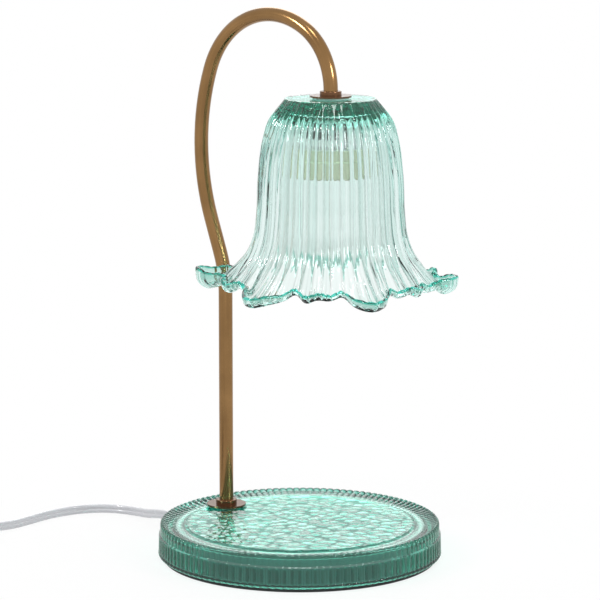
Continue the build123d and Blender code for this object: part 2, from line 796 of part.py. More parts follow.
with BuildPart() as dimmer_spindle:
    spindle_level = board_top + 2 * spindle_end_gap
    with BuildSketch(dimmer_plane.offset(spindle_level)):
        with Locations((-wheel_offset, 0)):
            Circle(spindle_radius)
    extrude(amount=wheel_level + wheel_thickness - spindle_level)
dimmer_spindle.part.label = "dimmer_spindle"
export_step(dimmer_spindle.part, "parts/dimmer_spindle.step")

with BuildPart() as dimmer_wheel:
    with BuildSketch(dimmer_plane.offset(wheel_level)):
        with Locations((-wheel_offset, 0)):
            Circle(wheel_radius)
            Circle(spindle_radius + thread_clearance, mode=Mode.SUBTRACT)
            with PolarLocations(wheel_radius, wheel_notch_count):
                Circle(wheel_notch_radius, mode=Mode.SUBTRACT)
    extrude(amount=wheel_thickness)
dimmer_wheel.part.label = "dimmer_wheel"
export_step(dimmer_wheel.part, "parts/dimmer_wheel.step")

with BuildPart() as dimmer_screws:
    with BuildSketch(dimmer_plane.offset(dimmer_screw_recess)):
        with Locations(*boss_places):
            Circle(dimmer_screw_head_radius)
    extrude(amount=dimmer_screw_head_height)
    with BuildSketch(dimmer_plane.offset(head_level)):
        with Locations(*boss_places):
            Circle(dimmer_screw_radius)
    extrude(amount=dimmer_screw_length)
dimmer_screws.part.label = "dimmer_screws"
export_step(dimmer_screws.part, "parts/dimmer_screws.step")

# Put-away cord: a flat coil in two layers that spirals in, climbs at the middle and spirals out
coil_pitch = 2 * cord_radius + coil_gap
coil_outer_radius = coil_mid_radius + coil_turns_per_layer * coil_pitch / 2
coil_inner_radius = coil_outer_radius - coil_turns_per_layer * coil_pitch
coil_turns = 2 * coil_turns_per_layer + 0.5
coil_level = tie_thickness + tie_clearance + cord_radius
coil_centre = Vector(dimmer_x + coil_outer_radius, dimmer_back_y - link_run - 2 * cord_radius, 0)


def coil_radius_level(turn):
    """Radius and level of the coil after so many turns."""
    if turn <= coil_turns_per_layer:
        return coil_outer_radius - coil_pitch * turn, coil_level
    climb = 2 * (turn - coil_turns_per_layer)
    if climb < 1:
        radius = coil_inner_radius - coil_pitch * (climb - climb**2) / 2
        return radius, coil_level + coil_pitch * (1 - math.cos(math.pi * climb)) / 2
    return coil_inner_radius + coil_pitch * (climb - 1) / 2, coil_level + coil_pitch


def coil_point(turn):
    """Point on the coil's middle line after so many turns."""
    radius, level = coil_radius_level(turn)
    return Vector(*polar_point(radius, 180 + 360 * turn, level)) + coil_centre


def coil_heading(turn):
    """Unit vector along the coil after so many turns."""
    return (coil_point(turn + coil_step) - coil_point(turn - coil_step)).normalized()


def biarc(start, start_heading, end, end_heading):
    """Two tangent arcs from one point and heading to another."""
    span = end - start
    total = start_heading + end_heading
    square = 2 * (1 - start_heading.dot(end_heading))
    along = span.dot(total)
    reach = (math.sqrt(along**2 + square * span.dot(span)) - along) / square
    middle = (start + reach * start_heading + end - reach * end_heading) * 0.5
    first = Edge.make_tangent_arc(start, start_heading, middle)
    return [first, Edge.make_tangent_arc(middle, first % 1, end)]


coil_quarters = [i / 4 for i in range(int(4 * coil_turns) + 1)]
coil_start = coil_point(0) - 2 * cord_radius * coil_heading(0)
coil_end = coil_point(coil_turns) + 2 * cord_radius * coil_heading(coil_turns)
with BuildPart() as cord_coil:
    turns = [Edge.make_line(coil_start, coil_point(0))]
    for here, there in zip(coil_quarters, coil_quarters[1:]):
        turns += biarc(coil_point(here), coil_heading(here), coil_point(there), coil_heading(there))
    turns.append(Edge.make_line(coil_point(coil_turns), coil_end))
    with BuildSketch(Plane(origin=coil_start, z_dir=coil_heading(0))):
        Circle(cord_radius)
    sweep(path=Wire(turns))
coil_length = sum(edge.length for edge in turns)
report_tube("cord_coil", cord_coil.part, coil_length, [coil_inner_radius])
cord_coil.part.label = "cord_coil"
export_step(cord_coil.part, "parts/cord_coil.step")

# Least gap of the coil to itself, on points a degree apart and at least half a turn away
samples = [coil_point(i / 360) for i in range(int(360 * coil_turns) + 1)]
least = min(
    (samples[i] - samples[j]).length
    for i in range(0, len(samples), 5)
    for j in range(i + 180, len(samples), 2)
)
print("coil least gap", round(least - 2 * cord_radius, 2))

with BuildPart() as coil_tie:
    first_pass = (tie_angle - 180) / 360 % 1
    passes = [coil_radius_level(first_pass + i)[0] for i in range(int(coil_turns - first_pass) + 1)]
    tie_low = min(passes) - cord_radius - tie_clearance
    tie_high = max(passes) + cord_radius + tie_clearance
    tie_inner_span = tie_high - tie_low
    tie_inner_height = 2 * (cord_radius + tie_clearance) + coil_pitch
    tie_outer_span = tie_inner_span + 2 * tie_thickness
    tie_outer_height = tie_inner_height + 2 * tie_thickness
    tie_plane = Plane(
        origin=coil_centre,
        x_dir=polar_point(1, tie_angle, 0),
        z_dir=polar_point(1, tie_angle - 90, 0),
    )
    with BuildSketch(tie_plane):
        with Locations(((tie_low + tie_high) / 2, tie_thickness + tie_inner_height / 2)):
            RectangleRounded(tie_outer_span, tie_outer_height, cord_radius + tie_thickness)
            RectangleRounded(tie_inner_span, tie_inner_height, cord_radius, mode=Mode.SUBTRACT)
    extrude(amount=tie_width / 2, both=True)
coil_tie.part.label = "coil_tie"
export_step(coil_tie.part, "parts/coil_tie.step")

with BuildPart() as cord_link:
    link_start = Vector(dimmer_x, dimmer_back_y, dimmer_cord_level)
    link_points = [
        link_start,
        link_start - Vector(0, end_run, 0),
        coil_start - end_run * coil_heading(0),
        coil_start,
    ]
    link_route = [tuple(point) for point in link_points]
    link_radii = route_radii(link_route)
    link_length = round_tube(link_route, link_radii, cord_radius)
report_tube("cord_link", cord_link.part, link_length, link_radii)
cord_link.part.label = "cord_link"
export_step(cord_link.part, "parts/cord_link.step")

# Plug beside the coil
plug_rear = Vector(coil_end.X + tail_run, coil_end.Y, plug_height / 2)
with BuildPart() as cord_tail:
    tail_points = [
        coil_end,
        coil_end + end_run * coil_heading(coil_turns),
        plug_rear - Vector(end_run, 0, 0),
        plug_rear,
    ]
    tail_route = [tuple(point) for point in tail_points]
    tail_radii = route_radii(tail_route)
    tail_length = round_tube(tail_route, tail_radii, cord_radius)
report_tube("cord_tail", cord_tail.part, tail_length, tail_radii)
cord_tail.part.label = "cord_tail"
export_step(cord_tail.part, "parts/cord_tail.step")

plug_plane = Plane(origin=plug_rear, x_dir=(0, 1, 0), z_dir=(1, 0, 0))
with BuildPart() as plug_body:
    with BuildSketch(plug_plane.offset(plug_neck_length)):
        RectangleRounded(plug_width, plug_height, plug_edge)
    extrude(amount=plug_length - plug_neck_length)
    with BuildSketch(plug_plane):
        Circle(plug_neck_radius)
    extrude(amount=plug_neck_length)
    neck_end = plug_body.faces().filter_by(Axis.X).sort_by(Axis.X)[0]
    chamfer(neck_end.edges(), (plug_neck_radius - cord_radius) / 2)
plug_body.part.label = "plug_body"
export_step(plug_body.part, "parts/plug_body.step")

with BuildPart() as plug_blades:
    with BuildSketch(plug_plane.offset(plug_length)):
        with Locations((-blade_spacing / 2, 0), (blade_spacing / 2, 0)):
            Rectangle(blade_thickness, blade_width)
    extrude(amount=blade_length)
plug_blades.part.label = "plug_blades"
export_step(plug_blades.part, "parts/plug_blades.step")
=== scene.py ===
"""Candle warmer lamp, dressed: pressed sea-green glass, rubbed brass with painted reflection streaks, twin
flex and a plain studio.
"""
import logging
import math
from dataclasses import dataclass
from enum import Enum
from typing import Any, Dict, List, Optional, Sequence, Tuple, Union

import bmesh
import bpy
import numpy as np
from mathutils import Euler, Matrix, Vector


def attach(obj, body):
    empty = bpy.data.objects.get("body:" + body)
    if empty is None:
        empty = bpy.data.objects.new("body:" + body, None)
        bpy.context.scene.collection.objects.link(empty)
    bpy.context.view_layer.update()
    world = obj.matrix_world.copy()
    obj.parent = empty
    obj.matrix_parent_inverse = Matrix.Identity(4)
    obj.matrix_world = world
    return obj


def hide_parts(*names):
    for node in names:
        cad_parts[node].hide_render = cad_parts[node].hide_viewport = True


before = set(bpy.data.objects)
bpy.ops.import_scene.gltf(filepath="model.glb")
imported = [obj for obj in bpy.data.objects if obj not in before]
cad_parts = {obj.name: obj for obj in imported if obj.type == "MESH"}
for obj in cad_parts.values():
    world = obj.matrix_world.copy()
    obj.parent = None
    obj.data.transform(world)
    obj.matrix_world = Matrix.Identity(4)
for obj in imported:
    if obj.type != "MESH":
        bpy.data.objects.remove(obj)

LOG = logging.getLogger("candle_warmer")
MM = 0.001
LAMP_BODY = "lamp"
Colour = Tuple[float, float, float]
Point = Tuple[float, float, float]
Operand = Union["Value", float, Tuple[float, ...]]


class Slot(Enum):
    """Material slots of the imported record."""

    GLASS = "sea_glass"
    BRASS = "antique_brass"
    FLEX = "clear_flex"


class Value:
    """A shader socket that takes part in Python expressions."""

    def __init__(self, tree: "ShaderTree", socket: bpy.types.NodeSocket) -> None:
        """Keeps the socket and the tree it belongs to."""
        self.tree = tree
        self.socket = socket

    def __add__(self, other: Operand) -> "Value":
        """Sum."""
        return self.tree.combine("ADD", self, other)

    def __radd__(self, other: Operand) -> "Value":
        """Sum with a number on the left."""
        return self.tree.combine("ADD", other, self)

    def __sub__(self, other: Operand) -> "Value":
        """Difference."""
        return self.tree.combine("SUBTRACT", self, other)

    def __rsub__(self, other: Operand) -> "Value":
        """Difference with a number on the left."""
        return self.tree.combine("SUBTRACT", other, self)

    def __mul__(self, other: Operand) -> "Value":
        """Product."""
        return self.tree.combine("MULTIPLY", self, other)

    def __rmul__(self, other: Operand) -> "Value":
        """Product with a number on the left."""
        return self.tree.combine("MULTIPLY", other, self)

    def __gt__(self, other: Operand) -> "Value":
        """One where this is greater, else nought."""
        return self.tree.combine("GREATER_THAN", self, other)

    def __lt__(self, other: Operand) -> "Value":
        """One where this is less, else nought."""
        return self.tree.combine("LESS_THAN", self, other)


class ShaderTree:
    """Builds the nodes of one material or world."""

    def __init__(self, owner: Union[bpy.types.Material, bpy.types.World], output: str) -> None:
        """Clears the owner's nodes and adds its output node.

        Args:
            owner: Material or world that holds the nodes.
            output: Type of its output node.
        """
        owner.use_nodes = True
        self.nodes = owner.node_tree.nodes
        self.links = owner.node_tree.links
        self.nodes.clear()
        self.output = self.nodes.new(output)

    @staticmethod
    def find(sockets: Any, key: str) -> bpy.types.NodeSocket:
        """Finds a socket.

        Args:
            sockets: Inputs or outputs of a node.
            key: Identifier, or else name, of the socket.

        Returns:
            The socket.
        """
        for socket in sockets:
            if socket.identifier == key:
                return socket
        return sockets[key]

    def assign(self, socket: bpy.types.NodeSocket, operand: Operand) -> None:
        """Links a value to a socket, or sets the socket's own number.

        Args:
            socket: Input socket to feed.
            operand: Value to link, or number or tuple to set.
        """
        if isinstance(operand, Value):
            self.links.new(operand.socket, socket)
        elif socket.type == "RGBA":
            colour = (operand,) * 3 if isinstance(operand, (int, float)) else tuple(operand[:3])
            socket.default_value = (*colour, 1.0)
        elif socket.type == "VECTOR" and isinstance(operand, (int, float)):
            socket.default_value = (operand,) * 3
        else:
            socket.default_value = operand

    def node(
        self,
        kind: str,
        settings: Optional[Dict[str, Any]] = None,
        sockets: Optional[Dict[str, Operand]] = None,
        out: Optional[str] = None,
    ) -> Value:
        """Adds any node.

        Args:
            kind: Type of the node.
            settings: Its settings, which are set first.
            sockets: Values or links of its input sockets.
            out: Name of the output to return, or the first.

        Returns:
            The chosen output as a value.
        """
        made = self.nodes.new(kind)
        for key, setting in (settings or {}).items():
            setattr(made, key, setting)
        for key, operand in (sockets or {}).items():
            self.assign(self.find(made.inputs, key), operand)
        return Value(self, self.find(made.outputs, out) if out else made.outputs[0])

    def combine(self, operation: str, left: Operand, right: Operand) -> Value:
        """Joins two operands with a Mix, Vector Math or Math node, as their kinds ask.

        Args:
            operation: Name of the sum that the nodes share.
            left: First operand.
            right: Second operand.

        Returns:
            The result as a value.
        """
        kinds = {v.socket.type for v in (left, right) if isinstance(v, Value)}
        if "RGBA" in kinds:
            return self.node(
                "ShaderNodeMix",
                {"data_type": "RGBA", "blend_type": operation},
                {"Factor_Float": 1.0, "A_Color": left, "B_Color": right},
                "Result_Color",
            )
        kind = "ShaderNodeVectorMath" if "VECTOR" in kinds else "ShaderNodeMath"
        made = self.nodes.new(kind)
        made.operation = operation
        self.assign(made.inputs[0], left)
        self.assign(made.inputs[1], right)
        return Value(self, made.outputs[0])

    def mix(self, factor: Operand, first: Operand, second: Operand) -> Value:
        """Blend of two colours by a factor."""
        return self.node(
            "ShaderNodeMix",
            {"data_type": "RGBA", "blend_type": "MIX"},
            {"Factor_Float": factor, "A_Color": first, "B_Color": second},
            "Result_Color",
        )

    def spread(self, value: Value, low: float, high: float) -> Value:
        """A value from nought to one, spread from low to high."""
        return self.node(
            "ShaderNodeMapRange", {"clamp": True}, {"Value": value, "To Min": low, "To Max": high}
        )

    def place(self, scale: Point = (1.0, 1.0, 1.0), source: str = "Object") -> Value:
        """Coordinates of the surface, scaled along each axis."""
        spot = self.node("ShaderNodeTexCoord", out=source)
        return self.node(
            "ShaderNodeVectorMath", {"operation": "MULTIPLY"}, {"Vector": spot, "Vector_001": scale}
        )

    def noise(self, spot: Value, scale: float, detail: float = 3.0, rough: float = 0.55) -> Value:
        """Soft noise from nought to one at a spot."""
        return self.node(
            "ShaderNodeTexNoise",
            {},
            {"Vector": spot, "Scale": scale, "Detail": detail, "Roughness": rough},
            "Fac",
        )

    def bump(self, height: Value, depth: float, strength: float = 1.0) -> Value:
        """Normal that follows a height from nought to one over a depth in metres."""
        return self.node(
            "ShaderNodeBump", {}, {"Strength": strength, "Distance": depth, "Height": height}
        )

    def principled(self, sockets: Dict[str, Operand]) -> Value:
        """A principled shader with these sockets."""
        return self.node("ShaderNodeBsdfPrincipled", {}, sockets)

    def paint(self, sockets: Dict[str, Operand]) -> None:
        """Links a principled shader with these sockets to the output."""
        self.close(self.principled(sockets))

    def close(self, surface: Value, volume: Optional[Value] = None) -> None:
        """Links the shaders to the output.

        Args:
            surface: Shader of the surface.
            volume: Shader of the inside, if there is one.
        """
        self.links.new(surface.socket, self.output.inputs["Surface"])
        if volume is not None:
            self.links.new(volume.socket, self.output.inputs["Volume"])


@dataclass(frozen=True)
class Finish:
    """A named surface finish."""

    name: str

    def material(self) -> bpy.types.Material:
        """Makes the finish.

        Returns:
            A new material.
        """
        made = bpy.data.materials.new(self.name)
        self.shade(ShaderTree(made, "ShaderNodeOutputMaterial"))
        return made

    def shade(self, tree: ShaderTree) -> None:
        """Builds the finish's nodes."""
        raise NotImplementedError


@dataclass(frozen=True)
class PressedGlass(Finish):
    """Tinted glass with the soft waves and flecks that a press leaves."""

    tint: Colour = (0.017, 0.742, 0.625)
    density: float = 52.0
    clear: Colour = (0.985, 1.0, 0.995)
    # painted shade: colour of the dark lines painted along the valleys of flutes and ribs and in the pebble
    # furrows
    line: Colour = (0.005, 0.18, 0.13)
    deep: Colour = (0.008, 0.48, 0.35)
    frost: float = 0.2
    wave_scale: float = 90.0
    wave_depth: float = 0.00006
    fleck_scale: float = 900.0
    fleck_rough: float = 0.05
    shadow: Colour = (0.80, 0.93, 0.90)

    def shade(self, tree: ShaderTree) -> None:
        """Clear skin, darker in the painted shade lines, greener where thick, frosted where the lines are
        negative.

        The body is tinted, and lamps shine through it.

        Args:
            tree: Nodes of the material.
        """
        spot = tree.place()
        section = tree.node("ShaderNodeUVMap", {"uv_map": "Section"})
        # painted shade: the Section map's first number is the strength of the painted shade lines; a negative
        # number marks frosting
        lines = tree.node("ShaderNodeSeparateXYZ", {}, {"Vector": section}, "X")
        thick = tree.node("ShaderNodeSeparateXYZ", {}, {"Vector": section}, "Y")
        waves = tree.noise(spot, self.wave_scale, 2.0)
        flecks = tree.noise(spot, self.fleck_scale, 2.0)
        frosted = 0.0 - lines > 0.5
        glass = tree.principled(
            {
                # painted shade: the dark lines are mixed over the clear-to-deep tint of the glass
                "Base Color": tree.mix(lines, tree.mix(thick, self.clear, self.deep), self.line),
                "Roughness": tree.spread(flecks, 0.0, self.fleck_rough) + frosted * self.frost,
                "IOR": 1.5,
                "Transmission Weight": 1.0,
                "Normal": tree.bump(waves, self.wave_depth),
            }
        )
        open_to_lamps = tree.node("ShaderNodeBsdfTransparent", {}, {"Color": self.shadow})
        lamp_ray = tree.node("ShaderNodeLightPath", out="Is Shadow Ray")
        surface = tree.node(
            "ShaderNodeMixShader", {}, {"Fac": lamp_ray, "Shader": glass, "Shader_001": open_to_lamps}
        )
        body = tree.node("ShaderNodeVolumeAbsorption", {}, {"Color": self.tint, "Density": self.density})
        tree.close(surface, body)


@dataclass(frozen=True)
class RubbedAndReflectionMetal(Finish):
    """Plated metal, rubbed along its length, with a darker tone left in the low places; on the brass arm its
    light and dark streaks are painted reflection.
    """

    light: Colour
    dark: Colour
    grain: Point
    rough: Tuple[float, float] = (0.12, 0.20)
    source: str = "Object"
    streak_share: float = 0.65
    streak_depth: float = 0.000003
    cloud_share: float = 0.5
    cloud_scale: float = 45.0

    def shade(self, tree: ShaderTree) -> None:
        """Streaks along the grain drive colour, roughness and a fine bump.

        Args:
            tree: Nodes of the material.
        """
        streaks = tree.noise(tree.place(self.grain, self.source), 1.0, 4.0, 0.6)
        clouds = tree.noise(tree.place(), self.cloud_scale, 3.0)
        # the tone mixes real rubbing with, on the brass arm, painted reflection streaks
        tone = tree.spread(streaks * self.streak_share + clouds * self.cloud_share, 0.0, 1.0)
        tree.paint(
            {
                "Base Color": tree.mix(tone, self.dark, self.light),
                "Metallic": 1.0,
                "Roughness": tree.spread(streaks, *self.rough),
                "Normal": tree.bump(streaks, self.streak_depth),
            }
        )


@dataclass(frozen=True)
class Moulded(Finish):
    """Moulded or glazed material with a faint mottle and a fine skin."""

    light: Colour
    dark: Colour
    rough: Tuple[float, float]
    coat: float = 0.0
    mottle_scale: float = 120.0
    skin_scale: float = 2500.0
    skin_depth: float = 0.00002

    def shade(self, tree: ShaderTree) -> None:
        """Mottle drives the colour, the fine skin roughness and bump.

        Args:
            tree: Nodes of the material.
        """
        spot = tree.place()
        mottle = tree.noise(spot, self.mottle_scale, 4.0)
        skin = tree.noise(spot, self.skin_scale, 2.0)
        tree.paint(
            {
                "Base Color": tree.mix(mottle, self.dark, self.light),
                "Roughness": tree.spread(skin, *self.rough),
                "Coat Weight": self.coat,
                "Normal": tree.bump(skin, self.skin_depth),
            }
        )


@dataclass(frozen=True)
class FootFoam(Finish):
    """Black foam with open pores, and a grey film on the face that is stuck to the glass."""

    film_level: float = 2.15 * MM
    film: Colour = (0.105, 0.115, 0.115)
    # painted shade: colour of the pore hollows
    pore_shade: Colour = (0.004, 0.004, 0.004)
    foam: Colour = (0.016, 0.016, 0.017)
    rough: Tuple[float, float] = (0.65, 0.9)
    pore_scale: float = 1400.0
    pore_depth: float = 0.00012

    def shade(self, tree: ShaderTree) -> None:
        """Painted shade darkens the foam in its pore hollows; height tells the film from it.

        Args:
            tree: Nodes of the material.
        """
        spot = tree.place()
        pores = tree.node("ShaderNodeTexVoronoi", {}, {"Vector": spot, "Scale": self.pore_scale}, "Distance")
        place = tree.node("ShaderNodeNewGeometry", out="Position")
        film = tree.node("ShaderNodeSeparateXYZ", {}, {"Vector": place}, "Z") > self.film_level
        tree.paint(
            {
                "Base Color": tree.mix(film, tree.mix(pores, self.pore_shade, self.foam), self.film),
                "Roughness": tree.spread(pores, *self.rough),
                "Normal": tree.bump(pores, self.pore_depth, 0.6),
            }
        )


@dataclass(frozen=True)
class ClearVinyl(Finish):
    """Clear flex: a glossy skin over two bundles of tinned wire."""

    skin: Colour = (0.80, 0.80, 0.83)
    core: Colour = (0.50, 0.50, 0.53)
    rough: Tuple[float, float] = (0.18, 0.34)
    cloud_scale: float = 160.0
    band_shares: Tuple[float, float, float] = (0.75, 0.1, 0.3)
    strand_pace: float = 2400.0
    strand_depth: float = 0.00001

    def shade(self, tree: ShaderTree) -> None:
        """The wire shows as a darker band along each half, with the strands' slant in it.

        Args:
            tree: Nodes of the material.
        """
        section = tree.node("ShaderNodeUVMap", {"uv_map": "Section"})
        wire = tree.node("ShaderNodeSeparateXYZ", {}, {"Vector": section}, "X")
        along = tree.node("ShaderNodeSeparateXYZ", {}, {"Vector": section}, "Y")
        strands = tree.node(
            "ShaderNodeTexWave",
            {"wave_type": "BANDS", "bands_direction": "X"},
            {"Vector": section, "Scale": 1.0, "Distortion": 1.5, "Detail": 2.0},
            "Fac",
        )
        clouds = tree.noise(tree.place(), self.cloud_scale, 3.0)
        plain, by_strand, by_cloud = self.band_shares
        band = wire * (plain + strands * by_strand + clouds * by_cloud)
        slant = tree.node("ShaderNodeMath", {"operation": "SINE"}, {"Value": along * self.strand_pace})
        tree.paint(
            {
                "Base Color": tree.mix(band, self.skin, self.core),
                "Roughness": tree.spread(clouds, *self.rough),
                "Coat Weight": 0.4,
                "Normal": tree.bump(slant, self.strand_depth, 0.25),
            }
        )


class Maker:
    """Turns rows of points into meshes in the shared frame."""

    @staticmethod
    def thing(name: str, points: np.ndarray, faces: Sequence[Sequence[int]]) -> bpy.types.Object:
        """A smooth mesh object with outward faces.

        Args:
            name: Name of the piece.
            points: Its points in metres.
            faces: Point numbers of each face.

        Returns:
            The linked object.
        """
        mesh = bpy.data.meshes.new(name)
        mesh.from_pydata([tuple(p) for p in points], [], [list(f) for f in faces])
        shell = bmesh.new()
        shell.from_mesh(mesh)
        bmesh.ops.recalc_face_normals(shell, faces=shell.faces)
        shell.to_mesh(mesh)
        shell.free()
        mesh.shade_smooth()
        made = bpy.data.objects.new(name, mesh)
        bpy.context.scene.collection.objects.link(made)
        return made

    @staticmethod
    def ring_faces(rows: int, count: int, wrap: bool) -> List[Tuple[int, int, int, int]]:
        """Quads between closed rings of points.

        Args:
            rows: Number of rings.
            count: Points in each ring.
            wrap: Whether the last ring joins the first.

        Returns:
            Point numbers of the quads.
        """
        faces = []
        for i in range(rows if wrap else rows - 1):
            here, there = i * count, (i + 1) % rows * count
            for j in range(count):
                k = (j + 1) % count
                faces.append((here + j, here + k, there + k, there + j))
        return faces

    @classmethod
    def skin(
        cls, name: str, rings: np.ndarray, wrap: bool = False, ends: Tuple[bool, bool] = (False, False)
    ) -> bpy.types.Object:
        """A skin through closed rings.

        Args:
            name: Name of the piece.
            rings: Points by ring and place on the ring.
            wrap: Whether the last ring joins the first.
            ends: Whether the first and last ring are closed with a point at their middle.

        Returns:
            The linked object.
        """
        rows, count = rings.shape[:2]
        points = [tuple(p) for p in rings.reshape(-1, 3)]
        faces: List[Tuple[int, ...]] = list(cls.ring_faces(rows, count, wrap))
        for row, closed in ((0, ends[0]), (rows - 1, ends[1])):
            if closed:
                middle = len(points)
                points.append(tuple(rings[row].mean(0)))
                faces += [
                    (row * count + j, row * count + (j + 1) % count, middle) for j in range(count)
                ]
        return cls.thing(name, np.array(points), faces)

    @staticmethod
    def circle(count: int) -> np.ndarray:
        """Angles of evenly spaced places on a ring, in radians."""
        return 2 * math.pi * np.arange(count) / count

    @staticmethod
    def across(count: int, steps: int) -> np.ndarray:
        """Where each place on a ring lies across its rib, from minus one to one."""
        return np.arange(count) % steps / (steps / 2) - 1

    @staticmethod
    def unit(vectors: np.ndarray) -> np.ndarray:
        """The vectors at length one."""
        return vectors / np.linalg.norm(vectors, axis=-1, keepdims=True)

    @classmethod
    def normals(cls, profile: np.ndarray) -> np.ndarray:
        """Outward unit normals of profiles of radii and levels."""
        run = cls.unit(np.gradient(profile, axis=0))
        return np.stack([-run[..., 1], run[..., 0]], -1)

    @staticmethod
    def lengths(line: np.ndarray) -> np.ndarray:
        """Length along a line up to each of its points."""
        return np.concatenate([[0], np.cumsum(np.linalg.norm(np.diff(line, axis=0), axis=1))])

    @staticmethod
    def level_rows(spots: Sequence[Tuple[float, float]], count: int) -> np.ndarray:
        """Rows that keep one radius and level all round."""
        return np.repeat(np.array(spots, float)[:, None, :], count, 1)

    @staticmethod
    def smooth_rows(rows: np.ndarray, steps: int) -> np.ndarray:
        """Puts smooth lines through rows of points.

        Args:
            rows: Points by row and place on the row.
            steps: Steps between each pair of rows.

        Returns:
            The finer rows.
        """
        count = len(rows)
        chords = np.linalg.norm(np.diff(rows, axis=0), axis=-1)
        chords = chords.reshape(count - 1, -1).mean(1)
        knots = np.concatenate([[0.0], np.cumsum(chords)])
        slopes = np.gradient(rows, knots, axis=0)
        made = []
        for i in range(count - 1):
            for t in np.arange(steps) / steps:
                h = knots[i + 1] - knots[i]
                made.append(
                    (2 * t**3 - 3 * t**2 + 1) * rows[i]
                    + (t**3 - 2 * t**2 + t) * h * slopes[i]
                    + (3 * t**2 - 2 * t**3) * rows[i + 1]
                    + (t**3 - t**2) * h * slopes[i + 1]
                )
        made.append(rows[-1])
        return np.array(made)

    @staticmethod
    def round_rings(profile: np.ndarray, angles: np.ndarray, centre_x: float = 0.0) -> np.ndarray:
        """Turns radii and levels into rings of points.

        Args:
            profile: Radius and level by row and angle.
            angles: The angles in radians.
            centre_x: Where the rings' axis stands.

        Returns:
            Points by ring and place on the ring.
        """
        radius, level = profile[..., 0], profile[..., 1]
        rings = np.empty(profile.shape[:2] + (3,))
        rings[..., 0] = centre_x + radius * np.cos(angles)
        rings[..., 1] = radius * np.sin(angles)
        rings[..., 2] = level
        return rings

    @staticmethod
    def section_map(piece: bpy.types.Object, across: np.ndarray, along: np.ndarray) -> None:
        """Gives a skin a map named Section.

        Args:
            piece: The skin.
            across: First number by ring and place on the ring.
            along: Second number by ring, or by ring and place.
        """
        layer = piece.data.uv_layers.new(name="Section")
        starts = np.empty(len(piece.data.loops), np.int32)
        piece.data.loops.foreach_get("vertex_index", starts)
        count = across.shape[1]
        rows = np.minimum(starts // count, len(across) - 1)
        along = np.broadcast_to(along.T, across.T.shape).T
        spots = np.stack([across[rows, starts % count], along[rows, starts % count]], 1)
        layer.data.foreach_set("uv", spots.astype(np.float32).ravel())


def dress(piece: bpy.types.Object, material: bpy.types.Material, slot: Slot, *nodes: str) -> bpy.types.Object:
    """Gives a new piece its material and body, and hides the nodes that it stands for.

    Args:
        piece: The new piece.
        material: Its material.
        slot: The record's slot; not used.
        nodes: CAD nodes that it replaces.

    Returns:
        The piece.
    """
    piece.data.materials.clear()
    piece.data.materials.append(material)
    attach(piece, LAMP_BODY)
    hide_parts(*nodes)
    LOG.info("%s stands for %s", piece.name, ", ".join(nodes))
    return piece


